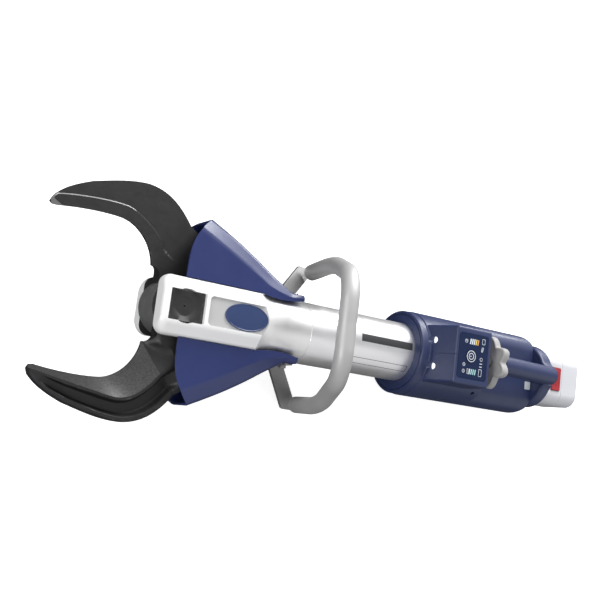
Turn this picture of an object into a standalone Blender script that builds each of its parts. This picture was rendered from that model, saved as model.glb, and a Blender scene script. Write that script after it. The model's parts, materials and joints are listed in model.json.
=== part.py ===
"""Battery rescue cutter: two curved blades on one pivot bolt, driven by a hydraulic cylinder.

Metres, +X towards the blade tips, +Y to the tool's left, +Z up through the handles.
The origin is on the pivot axis, on the flat lower face of the pivot nut.
Shapes are worked out about the cylinder's axis, which runs along X at AXIS_HEIGHT.
"""
import math

import bmesh
import bpy
from mathutils import Matrix, Vector
from mathutils.geometry import interpolate_bezier

# Driving dimensions
AXIS_HEIGHT = 0.048
GAP = 0.0003
FAR = 0.15
ROUND = 32
SMALL_ROUND = 18

# Yoke: the fork that carries the pivot bolt, and the turned neck behind it
YOKE_HALF_WIDTH = 0.0395
YOKE_SIDE_EDGE = 0.034
YOKE_RIM_HALF_WIDTH = 0.023
YOKE_FRONT = 0.0335
YOKE_FRONT_BEVEL = 0.006
YOKE_CORNER = 0.012
YOKE_BACK = -0.134
SLOT_HALF = 0.0232
SLOT_BACK = -0.095
CAVITY_BACK = -0.136
CAVITY_HALF_WIDTH = 0.027
NECK_RADIUS = 0.0435
NECK_BACK = -0.195
POCKET_FRONT = 0.0245
POCKET_BACK = -0.0265
POCKET_HALF_WIDTH = 0.0203
POCKET_FLOOR = 0.0335
BADGE_X = -0.0895
BADGE_LENGTH = 0.033
BADGE_WIDTH = 0.0184
RECESS_FRONT = -0.032
RECESS_HALF_WIDTH = 0.0194
RECESS_FLOOR = 0.0455

# Blades and the linkage that closes them
BLADE_TOP = 0.0228
BLADE_EDGE = 0.004
BLADE_TIP_TOP = 0.013
HUB_RADIUS = 0.038
BOLT_RADIUS = 0.016
BUSH_RADIUS = 0.0195
ARM_RADIUS = 0.062
ARM_ANGLE = math.radians(47)
ARM_END = 0.017
NOTCH_STEPS = 5
CLOSING_ANGLE = math.radians(32)
TONGUE_LOW = 0.0063
TONGUE_HIGH = 0.0163
LINK_LENGTH = 0.080
LINK_HALF_WIDTH = 0.010
ROD_EYE = 0.0125
BLADE_EYE = 0.0145
PIN_RADIUS = 0.0077
OPEN_PIVOT_HOLE = 0.0102

# Cylinder
TUBE_RADIUS = 0.0446
BORE_RADIUS = 0.034
TUBE_BACK = -0.395
ROD_RADIUS = 0.014
PISTON_FRONT = -0.304
PISTON_BACK = -0.332
BASE_FRONT = -0.345
BASE_BACK = -0.402

# Guards
GUARD_HALF_HEIGHT = 0.034
GUARD_WALL = 0.003
GUARD_BACK = -0.184
GUARD_SWEEP = 0.031
GUARD_OUTER = 0.1255
GUARD_INNER = 0.0398
GUARD_ROUND = 0.014

# Front handle and its brackets
BAIL_RADIUS = 0.0125
BAIL_FOOT = Vector((-0.242, 0.1005, -0.049))
BAIL_KNEE = Vector((-0.223, 0.1020, 0.041))
BAIL_SHOULDER = Vector((-0.177, 0.0660, 0.154))
BRACKET_THICKNESS = 0.005

# Housing
HOUSING_RADIUS = 0.065
HOUSING_FRONT = -0.3923
HOUSING_BACK = -0.6397
CAVITY_RADIUS = 0.057
CAVITY_CEILING = 0.026
HALL_BACK = -0.618
SADDLE_FRONT = -0.5164
SADDLE_TOP = 0.033
SADDLE_SHOULDER = 0.027
DRIVE_CENTRE = (0.0, -0.010)
CONSOLE_TOP = 0.104
CONSOLE_HALF_WIDTH = 0.043
CONSOLE_BACK = -0.486
FOOT_DROP = 0.0635
PANEL_X = -0.443
PANEL_HALF_LENGTH = 0.029
PANEL_HALF_WIDTH = 0.034
BUTTON_X = -0.4385
BUTTON_RADIUS = 0.0092
BUTTON_TRAVEL = 0.0008
LIGHT_Y = 0.0197
LIGHT_X = -0.4005
LIGHT_Z = 0.066

# Twist grip and rear handle, both on one axis that falls towards the back
GRIP_CENTRE = Vector((-0.503, 0.0, 0.081))
GRIP_TILT = math.radians(6)
GRIP_TIP = 0.040
GRIP_SHORT_TIP = 0.0340
GRIP_HOLLOW = 0.0250
GRIP_HALF_THICKNESS = 0.0075
HANDLE_RADIUS = 0.015
HANDLE_LENGTH = 0.150

# Battery
PLUG_FRONT = -0.6260
PLUG_HALF_WIDTH = 0.0325
PLUG_BOTTOM = -0.0285
PLUG_TOP = 0.0225
PLUG_ROOM = 0.0035
LATCH_CENTRE = -0.6876
LATCH_HALF_LENGTH = 0.0095
LATCH_HALF_WIDTH = 0.0185
LATCH_BOTTOM = 0.0390
LATCH_TOP = 0.0440
LATCH_TRAVEL = 0.003
DOCK_FRONT = -0.640
DOCK_BACK = -0.662
BATTERY_FRONT = -0.664
BATTERY_BACK = -0.744
BATTERY_HALF_WIDTH = 0.0430
BATTERY_TOP = 0.042
BATTERY_BOTTOM = -0.046

SIDES = {"left": 1, "right": -1}


def clear_scene():
    for thing in list(bpy.data.objects):
        bpy.data.objects.remove(thing, do_unlink=True)


def material(name, color, metallic, roughness):
    made = bpy.data.materials.new(name)
    made.use_nodes = True
    shader = made.node_tree.nodes["Principled BSDF"]
    shader.inputs["Base Color"].default_value = (*color, 1.0)
    shader.inputs["Metallic"].default_value = metallic
    shader.inputs["Roughness"].default_value = roughness
    return made


def place(name, bm, made, origin=(0.0, 0.0, 0.0)):
    """Turn a bmesh drawn about the cylinder axis into an object whose origin is at the given point."""
    bmesh.ops.recalc_face_normals(bm, faces=bm.faces)
    bmesh.ops.translate(bm, verts=bm.verts, vec=-Vector(origin))
    mesh = bpy.data.meshes.new(name)
    bm.to_mesh(mesh)
    bm.free()
    mesh.shade_smooth()
    mesh.set_sharp_from_angle(angle=math.radians(35))
    thing = bpy.data.objects.new(name, mesh)
    thing.location = Vector(origin) + Vector((0.0, 0.0, AXIS_HEIGHT))
    if made is not None:
        mesh.materials.append(made)
    bpy.context.scene.collection.objects.link(thing)
    return thing


def cutter(name, bm):
    thing = place(name, bm, None)
    thing.hide_render = True
    thing.display_type = "WIRE"
    return thing


def combine(thing, other, operation):
    step = thing.modifiers.new(operation.lower() + " " + other.name, "BOOLEAN")
    step.operation = operation
    step.object = other
    step.solver = "EXACT"


def bevel(thing, width, segments=2, angle=40):
    step = thing.modifiers.new("edge rounding", "BEVEL")
    step.width = width
    step.segments = segments
    step.limit_method = "ANGLE"
    step.angle_limit = math.radians(angle)


def loft(loops, ring=False):
    """Join equal loops of points into one closed skin, with flat ends or as a closed ring."""
    bm = bmesh.new()
    rows = [[bm.verts.new(point) for point in loop] for loop in loops]
    count = len(rows[0])
    pairs = list(zip(rows, rows[1:]))
    if ring:
        pairs.append((rows[-1], rows[0]))
    for first, second in pairs:
        for i in range(count):
            j = (i + 1) % count
            bm.faces.new((first[i], first[j], second[j], second[i]))
    if not ring:
        bm.faces.new(rows[0])
        bm.faces.new(rows[-1])
    return bm


def prism(outline, low, high):
    """Extrude an outline of (x, y) points from low to high along Z."""
    return loft([[(x, y, low) for x, y in outline], [(x, y, high) for x, y in outline]])


def side_prism(outline, low, high):
    """Extrude an outline of (x, z) points from low to high along Y."""
    return loft([[(x, low, z) for x, z in outline], [(x, high, z) for x, z in outline]])


def box(x_range, y_range, z_range):
    corners = [(x_range[0], y_range[0]), (x_range[1], y_range[0])]
    corners += [(x_range[1], y_range[1]), (x_range[0], y_range[1])]
    return prism(corners, z_range[0], z_range[1])


def arc(centre, radius, start, end, steps):
    """Points on an arc, angles in degrees."""
    points = []
    for i in range(steps + 1):
        angle = math.radians(start + (end - start) * i / steps)
        points.append((centre[0] + radius * math.cos(angle), centre[1] + radius * math.sin(angle)))
    return points


def rounded_rectangle(x_low, x_high, y_low, y_high, radius, steps=5):
    points = arc((x_high - radius, y_high - radius), radius, 0, 90, steps)
    points += arc((x_low + radius, y_high - radius), radius, 90, 180, steps)
    points += arc((x_low + radius, y_low + radius), radius, 180, 270, steps)
    points += arc((x_high - radius, y_low + radius), radius, 270, 360, steps)
    return points


def turned(profile, segments=ROUND, centre=(0.0, 0.0), ring=False):
    """Turn (x, radius) points about an axis along X that passes through centre (y, z)."""
    if ring:
        loops = []
        for i in range(segments):
            angle = 2 * math.pi * i / segments
            across = (math.cos(angle), math.sin(angle))
            loops.append([(x, centre[0] + r * across[0], centre[1] + r * across[1]) for x, r in profile])
        return loft(loops, ring=True)
    loops = []
    for x, r in profile:
        circle = arc(centre, r, 0, 360 - 360 / segments, segments - 1)
        loops.append([(x, y, z) for y, z in circle])
    return loft(loops)


def upright(profile, centre=(0.0, 0.0), segments=ROUND, ring=False):
    """Turn (z, radius) points about an upright axis through centre (x, y)."""
    bm = turned(profile, segments, (0.0, 0.0), ring)
    turn = Matrix.Translation((centre[0], centre[1], 0.0)) @ Matrix.Rotation(math.radians(-90), 4, "Y")
    bmesh.ops.transform(bm, matrix=turn, verts=bm.verts)
    return bm


def crosswise(profile, centre, side, segments=SMALL_ROUND):
    """Turn (distance from the middle, radius) points about an axis along Y through centre (x, z)."""
    bm = turned(profile, segments)
    turn = Matrix.Translation((centre[0], 0.0, centre[1])) @ Matrix.Rotation(math.radians(90 * side), 4, "Z")
    bmesh.ops.transform(bm, matrix=turn, verts=bm.verts)
    return bm


def flip_side(bm, side):
    """Mirror a shape drawn on the left side when it belongs on the right."""
    if side < 0:
        bmesh.ops.scale(bm, vec=(1.0, -1.0, 1.0), verts=bm.verts)
    return bm


def smooth_path(corners, radius, steps):
    """Replace each inner corner of a 3-D path by an arc-like bend."""
    path = [corners[0]]
    for before, corner, after in zip(corners, corners[1:], corners[2:]):
        start = corner + (before - corner).normalized() * radius
        end = corner + (after - corner).normalized() * radius
        pull_in = start.lerp(corner, 0.55)
        pull_out = end.lerp(corner, 0.55)
        path += interpolate_bezier(start, pull_in, pull_out, end, steps)
    path.append(corners[-1])
    return path


def sweep(path, radius, segments):
    """A round bar along a 3-D path, with flat ends."""
    loops = []
    across = None
    for i, point in enumerate(path):
        ahead = path[min(i + 1, len(path) - 1)] - path[max(i - 1, 0)]
        ahead.normalize()
        if across is None:
            across = ahead.orthogonal().normalized()
        across = (across - ahead * across.dot(ahead)).normalized()
        other = ahead.cross(across)
        ring = []
        for k in range(segments):
            angle = 2 * math.pi * k / segments
            ring.append(point + across * radius * math.cos(angle) + other * radius * math.sin(angle))
        loops.append(ring)
    return loft(loops)


# Yoke ---------------------------------------------------------------------------------------------

def yoke_section(inset):
    """Fork cross-section in (y, z), drawn in from every side by the inset."""
    wide = YOKE_HALF_WIDTH - inset
    rim = YOKE_RIM_HALF_WIDTH - inset
    edge = YOKE_SIDE_EDGE - inset * 0.5
    high = AXIS_HEIGHT - inset
    right = [(wide, -edge), (wide, edge), (rim, high)]
    left = [(-y, -z) for y, z in right]
    return right + [(-rim, high), (-wide, edge), (-wide, -edge)] + [left[2], (rim, -high)]


def yoke_block():
    stations = [(YOKE_BACK, 0.0), (YOKE_FRONT - YOKE_FRONT_BEVEL, 0.0), (YOKE_FRONT, YOKE_FRONT_BEVEL)]
    loops = []
    for x, inset in stations:
        loops.append([(x, y, z) for y, z in yoke_section(inset)])
    return loft(loops)


def yoke_neck():
    profile = [(YOKE_BACK + 0.008, NECK_RADIUS - 0.0005), (-0.145, NECK_RADIUS)]
    profile += [(-0.172, TUBE_RADIUS - 0.0004), (NECK_BACK, TUBE_RADIUS - 0.0004)]
    return turned(profile)


def yoke_flare():
    """The turned hollow that runs the fork's corners out into the round neck."""
    curve = interpolate_bezier(Vector((-0.104, 0.060)), Vector((-0.118, 0.048)),
                               Vector((-0.122, 0.0445)), Vector((YOKE_BACK - 0.001, 0.0435)), 7)
    return turned([(0.05, 0.075), (-0.100, 0.075)] + [(point.x, point.y) for point in curve])


def make_yoke():
    body = place("yoke_body", yoke_block(), material("yoke aluminium", (0.78, 0.79, 0.80), 0.9, 0.35))
    plan = rounded_rectangle(-0.25, YOKE_FRONT, -YOKE_HALF_WIDTH, YOKE_HALF_WIDTH, YOKE_CORNER)
    combine(body, cutter("yoke plan", prism(plan, -0.06, 0.06)), "INTERSECT")
    combine(body, cutter("yoke flare", yoke_flare()), "INTERSECT")
    combine(body, cutter("yoke neck", yoke_neck()), "UNION")
    slot = box((SLOT_BACK, 0.06), (-0.06, 0.06), (-SLOT_HALF, SLOT_HALF))
    combine(body, cutter("yoke slot", slot), "DIFFERENCE")
    hollow = box((CAVITY_BACK, SLOT_BACK + 0.004), (-CAVITY_HALF_WIDTH, CAVITY_HALF_WIDTH),
                 (-SLOT_HALF + GAP, SLOT_HALF - GAP))
    combine(body, cutter("yoke cavity", hollow), "DIFFERENCE")
    bore = turned([(CAVITY_BACK + 0.004, ROD_RADIUS + 0.002), (-0.1480, ROD_RADIUS + 0.002),
                   (-0.1481, 0.026), (NECK_BACK - 0.01, 0.026)])
    combine(body, cutter("yoke rod bore", bore), "DIFFERENCE")
    bolt_hole = upright([(-0.06, BOLT_RADIUS + GAP), (0.06, BOLT_RADIUS + GAP)])
    combine(body, cutter("yoke bolt hole", bolt_hole), "DIFFERENCE")
    for high in (1, -1):
        low_z, high_z = sorted((high * POCKET_FLOOR, high * 0.06))
        pocket = box((POCKET_BACK, POCKET_FRONT), (-POCKET_HALF_WIDTH, POCKET_HALF_WIDTH), (low_z, high_z))
        combine(body, cutter("yoke pocket %d" % high, pocket), "DIFFERENCE")
    relief = upright([(POCKET_FLOOR + 0.001, 0.0228), (0.06, 0.0228)])
    combine(body, cutter("yoke pocket relief", relief), "DIFFERENCE")
    recess = prism(rounded_rectangle(-0.16, RECESS_FRONT, -RECESS_HALF_WIDTH, RECESS_HALF_WIDTH, 0.005),
                   RECESS_FLOOR, 0.06)
    combine(body, cutter("yoke badge recess", recess), "DIFFERENCE")
    for side in SIDES.values():
        for x, z, radius in screw_places():
            hole = crosswise([(0.033, radius + GAP), (0.06, radius + GAP)], (x, z), side)
            combine(body, cutter("yoke side hole %d %.3f" % (side, x), hole), "DIFFERENCE")


def screw_places():
    """(x, z, shank radius) of the guard screw and of the two bracket bolts on each side."""
    return [(-0.1745, 0.020, 0.0025), (-0.1660, 0.0010, 0.003), (-0.1840, -0.0065, 0.003)]


def make_badge():
    outline = []
    for i in range(ROUND):
        angle = 2 * math.pi * i / ROUND
        outline.append((BADGE_X + BADGE_LENGTH * math.cos(angle), BADGE_WIDTH * math.sin(angle)))
    badge = place("badge_plate", prism(outline, RECESS_FLOOR + GAP, RECESS_FLOOR + 0.002),
                  material("badge blue", (0.03, 0.06, 0.20), 0.0, 0.35))
    bevel(badge, 0.0007, 1)


# Pivot ----------------------------------------------------------------------------------------------

def make_pivot():
    dark = material("bolt steel", (0.12, 0.12, 0.13), 0.8, 0.45)
    head_low = POCKET_FLOOR + GAP
    head_top = AXIS_HEIGHT - 0.005
    side = POCKET_HALF_WIDTH - GAP
    head = box((POCKET_BACK + GAP, POCKET_FRONT - GAP), (-side, side), (head_low, head_top))
    bolt = place("pivot_bolt", head, dark)
    shank = upright([(-0.0380, BOLT_RADIUS), (head_low + 0.002, BOLT_RADIUS)])
    combine(bolt, cutter("bolt shank", shank), "UNION")
    dish = upright([(head_top - 0.0035, 0.014), (head_top + 0.0005, 0.0235)])
    combine(bolt, cutter("bolt dish", dish), "DIFFERENCE")
    dot = upright([(head_top - 0.006, 0.0004), (head_top - 0.003, 0.0018)], segments=12)
    combine(bolt, cutter("bolt centre mark", dot), "DIFFERENCE")

    nut_side = POCKET_HALF_WIDTH - GAP
    nut_body = box((POCKET_BACK + GAP, POCKET_FRONT - GAP), (-nut_side, nut_side),
                   (-AXIS_HEIGHT, -POCKET_FLOOR - GAP))
    nut = place("pivot_nut", nut_body, material("nut steel", (0.16, 0.16, 0.17), 0.8, 0.4))
    thread = upright([(-0.0383, BOLT_RADIUS + GAP), (0.0, BOLT_RADIUS + GAP)])
    combine(nut, cutter("nut thread", thread), "DIFFERENCE")

    wall = [(-SLOT_HALF + 0.0004, BOLT_RADIUS + GAP), (SLOT_HALF - 0.0004, BOLT_RADIUS + GAP)]
    wall += [(SLOT_HALF - 0.0004, BUSH_RADIUS), (-SLOT_HALF + 0.0004, BUSH_RADIUS)]
    place("pivot_bush", upright(wall, ring=True), material("bush bronze", (0.55, 0.38, 0.18), 0.9, 0.4))


# Blades ---------------------------------------------------------------------------------------------

def curve_points(spans, steps):
    """Chain cubic curves given as four (x, y) points each."""
    points = []
    for start, pull_in, pull_out, end in spans:
        part = interpolate_bezier(Vector(start), Vector(pull_in), Vector(pull_out), Vector(end), steps + 1)
        points += part[:-1]
    points.append(Vector(spans[-1][3]))
    return [(point.x, point.y) for point in points]


def blade_inner_edge():
    near_tip = ((0.178, 0.099), (0.152, 0.1035), (0.115, 0.1065), (0.088, 0.1040))
    throat = ((0.088, 0.1040), (0.065, 0.1020), (0.041, 0.080), (0.0373, 0.0505))
    return curve_points([near_tip, throat], 9)


def blade_ridge():
    near_tip = ((0.1805, 0.1055), (0.140, 0.1135), (0.100, 0.1225), (0.072, 0.1265))
    throat = ((0.072, 0.1265), (0.047, 0.1290), (0.031, 0.112), (0.0135, 0.090))
    return curve_points([near_tip, throat], 9)


def blade_outer_edge():
    near_tip = ((0.1812, 0.1060), (0.176, 0.1195), (0.158, 0.131), (0.130, 0.1420))
    back = ((0.130, 0.1420), (0.105, 0.1490), (0.080, 0.1570), (0.055, 0.1570))
    bend = ((0.055, 0.1570), (0.030, 0.1550), (0.010, 0.1440), (-0.012, 0.115))
    return curve_points([near_tip, back, bend], 6)


def arm_pin():
    return (-ARM_RADIUS * math.cos(ARM_ANGLE), ARM_RADIUS * math.sin(ARM_ANGLE))


def blade_root_outline():
    """From the outer edge back round the arm's eye and the hub to the notch beside the inner edge."""
    pin = arm_pin()
    shoulder = ((-0.012, 0.115), (-0.030, 0.101), (-0.058, 0.088), (pin[0] - ARM_END, pin[1]))
    points = curve_points([shoulder], 5)[1:]
    points += arc(pin, ARM_END, 180, 203, 2)[1:]
    points += arc((0.0, 0.0), HUB_RADIUS, 203, 410, 22)
    return points + arc((0.0365, 0.0375), 0.0130, 165, 92, NOTCH_STEPS)


def blade_height(i, count):
    """The full thickness is reached 40 % of the way down from the tip."""
    along = min(1.0, i / (0.4 * (count - 1)))
    return BLADE_TIP_TOP + (BLADE_TOP - BLADE_TIP_TOP) * along


def blade_shape():
    inner = blade_inner_edge()
    ridge = blade_ridge()
    outer = blade_outer_edge()
    root = blade_root_outline()
    count = len(inner)
    bm = bmesh.new()
    low = [bm.verts.new((x, y, GAP * 0.5)) for x, y in inner + root[::-1] + outer[::-1]]
    inner_low = low[:count]
    root_low = low[count:count + len(root)]
    outer_low = low[count + len(root):]
    inner_top = [bm.verts.new((x, y, BLADE_EDGE)) for x, y in inner]
    ridge_top = []
    outer_top = []
    for i in range(count):
        high = blade_height(i, count)
        ridge_top.append(bm.verts.new((ridge[i][0], ridge[i][1], high)))
        outer_top.append(bm.verts.new((outer[count - 1 - i][0], outer[count - 1 - i][1],
                                       blade_height(count - 1 - i, count))))
    root_top = []
    for i, (x, y) in enumerate(root[::-1]):
        rise = min(1.0, (i + 1) / (NOTCH_STEPS + 1))
        root_top.append(bm.verts.new((x, y, BLADE_EDGE + (BLADE_TOP - BLADE_EDGE) * rise)))
    bm.faces.new(low)
    lower = inner_low
    for i in range(count - 1):
        bm.faces.new((lower[i], lower[i + 1], inner_top[i + 1], inner_top[i]))
        bm.faces.new((inner_top[i], inner_top[i + 1], ridge_top[i + 1]))
        bm.faces.new((inner_top[i], ridge_top[i + 1], ridge_top[i]))
        far = outer_top[count - 1 - i]
        farther = outer_top[count - 2 - i]
        bm.faces.new((ridge_top[i], ridge_top[i + 1], farther, far))
        bm.faces.new((outer_low[i], outer_low[i + 1], outer_top[i + 1], outer_top[i]))
    bm.faces.new((inner_low[-1], root_low[0], root_top[0], inner_top[-1]))
    bm.faces.new((inner_top[-1], root_top[0], ridge_top[-1]))
    for i in range(NOTCH_STEPS):
        bm.faces.new((root_top[i], root_top[i + 1], ridge_top[-1]))
    for i in range(len(root) - 1):
        bm.faces.new((root_low[i], root_low[i + 1], root_top[i + 1], root_top[i]))
    bm.faces.new((root_low[-1], outer_low[0], outer_top[0], root_top[-1]))
    bm.faces.new(root_top[NOTCH_STEPS:] + [outer_top[0], ridge_top[-1]])
    bm.faces.new((inner_low[0], inner_top[0], ridge_top[0], outer_top[-1], outer_low[-1]))
    return bm


def link_sweep():
    """What a link covers around the blade pin, as seen from the blade, between open and closed."""
    pin = arm_pin()
    open_lean = 180 + math.degrees(math.asin(pin[1] / LINK_LENGTH))
    closed_rise = ARM_RADIUS * math.sin(ARM_ANGLE + CLOSING_ANGLE)
    closed_lean = 180 + math.degrees(math.asin(closed_rise / LINK_LENGTH) + CLOSING_ANGLE)
    reach = 0.9 * LINK_LENGTH
    points = arc(pin, BLADE_EYE + 0.002, closed_lean + 90 - 360, open_lean - 90, 10)
    points += arc(pin, reach, open_lean - 9, closed_lean + 9, 4)
    return points


def blade_cutters():
    """Bolt hole, pin hole, and the thinning of the arm on both faces where the link plates run."""
    pin = arm_pin()
    holes = [("bush hole", upright([(-0.01, BUSH_RADIUS + GAP), (0.04, BUSH_RADIUS + GAP)]))]
    holes.append(("pin hole", upright([(-0.01, PIN_RADIUS + GAP), (0.04, PIN_RADIUS + GAP)], pin,
                                      SMALL_ROUND)))
    for name, low, high in (("lower", -0.01, TONGUE_LOW), ("upper", TONGUE_HIGH, 0.04)):
        holes.append((name + " step", prism(link_sweep(), low, high)))
    return holes


def make_blades():
    """The right blade lies under the left one and is the same forging turned over."""
    steel = material("blade steel", (0.035, 0.036, 0.038), 0.6, 0.5)
    for name, side in SIDES.items():
        turn = Matrix.Rotation(0.0 if side > 0 else math.pi, 4, "X")
        shape = blade_shape()
        bmesh.ops.transform(shape, matrix=turn, verts=shape.verts)
        blade = place("blade_" + name, shape, steel)
        for label, hole in blade_cutters():
            bmesh.ops.transform(hole, matrix=turn, verts=hole.verts)
            combine(blade, cutter(name + " " + label, hole), "DIFFERENCE")


# Linkage --------------------------------------------------------------------------------------------

def rod_pin_x():
    pin = arm_pin()
    return pin[0] - math.sqrt(LINK_LENGTH ** 2 - pin[1] ** 2)


def link_outline(side):
    """A plate with two round eyes, from the rod pin to the blade pin."""
    pin = arm_pin()
    lean = math.degrees(math.asin(pin[1] / LINK_LENGTH)) * side
    near = (rod_pin_x(), 0.0)
    far = (pin[0], side * pin[1])
    near_open = math.degrees(math.asin(LINK_HALF_WIDTH / ROD_EYE))
    far_open = math.degrees(math.asin(LINK_HALF_WIDTH / BLADE_EYE))
    points = arc(far, BLADE_EYE, lean - 180 + far_open, lean + 180 - far_open, 18)
    return points + arc(near, ROD_EYE, lean + near_open, lean + 360 - near_open, 14)


def make_links():
    plate = material("link steel", (0.30, 0.30, 0.31), 0.9, 0.4)
    hinge = (rod_pin_x(), 0.0, 0.0)
    pin = arm_pin()
    for name, side in SIDES.items():
        for level, low, high in (("inner", GAP, TONGUE_LOW - GAP), ("outer", TONGUE_HIGH + GAP, 0.0225)):
            z_low, z_high = sorted((side * low, side * high))
            shape = prism(link_outline(side), z_low, z_high)
            link = place("link_%s_%s" % (name, level), shape, plate, hinge)
            near_hole = upright([(-0.03, PIN_RADIUS + GAP), (0.03, PIN_RADIUS + GAP)], (hinge[0], 0.0),
                                SMALL_ROUND)
            far_hole = upright([(-0.03, OPEN_PIVOT_HOLE), (0.03, OPEN_PIVOT_HOLE)], (pin[0], side * pin[1]),
                               SMALL_ROUND)
            combine(link, cutter("rod hole %s %s" % (name, level), near_hole), "DIFFERENCE")
            combine(link, cutter("blade hole %s %s" % (name, level), far_hole), "DIFFERENCE")


def make_pins():
    steel = material("pin steel", (0.55, 0.55, 0.56), 1.0, 0.25)
    pin = arm_pin()
    for name, side in SIDES.items():
        ends = sorted((side * 2 * GAP, side * 0.0222))
        centre = (pin[0], side * pin[1])
        shape = upright([(ends[0], PIN_RADIUS), (ends[1], PIN_RADIUS)], centre, SMALL_ROUND)
        place("blade_pin_" + name, shape, steel)
    x = rod_pin_x()
    shape = upright([(-0.0222, PIN_RADIUS), (0.0222, PIN_RADIUS)], (x, 0.0), SMALL_ROUND)
    place("rod_pin", shape, steel, (x, 0.0, 0.0))


def make_crosshead():
    """Two lugs for the links on a round socket that is screwed on to the piston rod."""
    x = rod_pin_x()
    lug = [(x - 0.016, -ROD_EYE), (x, -ROD_EYE)] + arc((x, 0.0), ROD_EYE, -80, 80, 12)
    lug += [(x, ROD_EYE), (x - 0.016, ROD_EYE)]
    body = place("crosshead", prism(lug, TONGUE_LOW + GAP, TONGUE_HIGH - GAP),
                 material("crosshead steel", (0.35, 0.35, 0.36), 0.9, 0.4))
    combine(body, cutter("lower lug", prism(lug, -TONGUE_HIGH + GAP, -TONGUE_LOW - GAP)), "UNION")
    socket = box((x - 0.026, x - 0.0145), (-ROD_EYE, ROD_EYE), (-TONGUE_HIGH + GAP, TONGUE_HIGH - GAP))
    combine(body, cutter("crosshead socket", socket), "UNION")
    hole = upright([(-0.03, PIN_RADIUS + GAP), (0.03, PIN_RADIUS + GAP)], (x, 0.0), SMALL_ROUND)
    combine(body, cutter("crosshead hole", hole), "DIFFERENCE")


# Cylinder -------------------------------------------------------------------------------------------

def make_piston_parts():
    rod_front = rod_pin_x() - 0.026 - GAP
    profile = [(rod_front, ROD_RADIUS - 0.002), (rod_front - 0.002, ROD_RADIUS)]
    profile += [(PISTON_FRONT + GAP, ROD_RADIUS)]
    place("piston_rod", turned(profile), material("rod chrome", (0.80, 0.80, 0.82), 1.0, 0.12))
    groove = (PISTON_FRONT + PISTON_BACK) / 2
    outer = BORE_RADIUS - GAP
    profile = [(PISTON_FRONT, outer), (groove + 0.003, outer), (groove + 0.003, outer - 0.004)]
    profile += [(groove - 0.003, outer - 0.004), (groove - 0.003, outer), (PISTON_BACK, outer)]
    place("piston", turned(profile), material("piston steel", (0.45, 0.45, 0.46), 1.0, 0.35))
    wall = [(groove + 0.0027, outer - 0.0037), (groove + 0.0027, outer + 0.0001)]
    wall += [(groove - 0.0027, outer + 0.0001), (groove - 0.0027, outer - 0.0037)]
    place("piston_seal", turned(wall, ring=True), material("seal rubber", (0.02, 0.02, 0.02), 0.0, 0.6))


def make_cylinder_parts():
    inner = ROD_RADIUS + GAP
    wall = [(-0.1555, inner), (-0.1555, 0.0257), (-0.2100, 0.0257), (-0.2100, inner)]
    place("rod_guide", turned(wall, ring=True), material("guide bronze", (0.50, 0.36, 0.18), 0.9, 0.4))
    wall = [(-0.1485, inner), (-0.1485, 0.0225), (-0.1552, 0.0225), (-0.1552, inner)]
    place("rod_wiper", turned(wall, ring=True), material("wiper rubber", (0.03, 0.03, 0.03), 0.0, 0.6))
    front = NECK_BACK - GAP
    wall = [(front, TUBE_RADIUS), (front, 0.0260), (-0.2103, 0.0260), (-0.2103, BORE_RADIUS)]
    wall += [(TUBE_BACK, BORE_RADIUS), (TUBE_BACK, TUBE_RADIUS)]
    silver = material("tube aluminium", (0.80, 0.81, 0.82), 0.9, 0.3)
    place("cylinder_tube", turned(wall, ring=True), silver)
    rim = TUBE_BACK - GAP
    plug = BORE_RADIUS - GAP
    profile = [(BASE_FRONT, plug), (rim, plug), (rim - 0.0001, TUBE_RADIUS - 0.001)]
    profile += [(BASE_BACK, TUBE_RADIUS - 0.001)]
    place("cylinder_base", turned(profile), material("base aluminium", (0.60, 0.61, 0.62), 0.9, 0.4))


# Guards ---------------------------------------------------------------------------------------------

def guard_inner_y(x):
    """Along the fork's side, then in over the narrower neck, then out to the tail."""
    dip = max(0.0, 1.0 - abs((x + 0.148) / 0.034) ** 2)
    return GUARD_INNER - 0.004 * dip


def guard_outer_y(along):
    """A gently crowned line from the wide mouth to the narrow tail."""
    flat = GUARD_OUTER + (0.0485 - GUARD_OUTER) * min(1.0, along / 0.88)
    crown = 0.0045 * math.sin(math.pi * min(1.0, along / 0.88))
    return flat + crown


def guard_skin(along, depth):
    """One guard section as (share of the way out, z) points, inset by the wall for the inside."""
    front_outer = guard_outer_y(along) - depth
    x_inner = GUARD_BACK * along
    inner = guard_inner_y(x_inner)
    high = GUARD_HALF_HEIGHT - depth
    span = front_outer - inner
    radius = min(GUARD_ROUND, span * 0.45)
    section = [(inner + (span - radius) * share, high) for share in (0.0, 0.35, 0.6, 0.8)]
    for y, z in arc((front_outer - radius, high - radius), radius, 90, 0, 4):
        section.append((y, z))
    section += [(y, -z) for y, z in section[::-1]]
    points = []
    for y, z in section:
        out = (y - inner) / max(span, 0.0001)
        sweep_back = GUARD_SWEEP * out ** 3.6 * (1.0 - along)
        points.append((x_inner - sweep_back, y, z))
    return points


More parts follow.
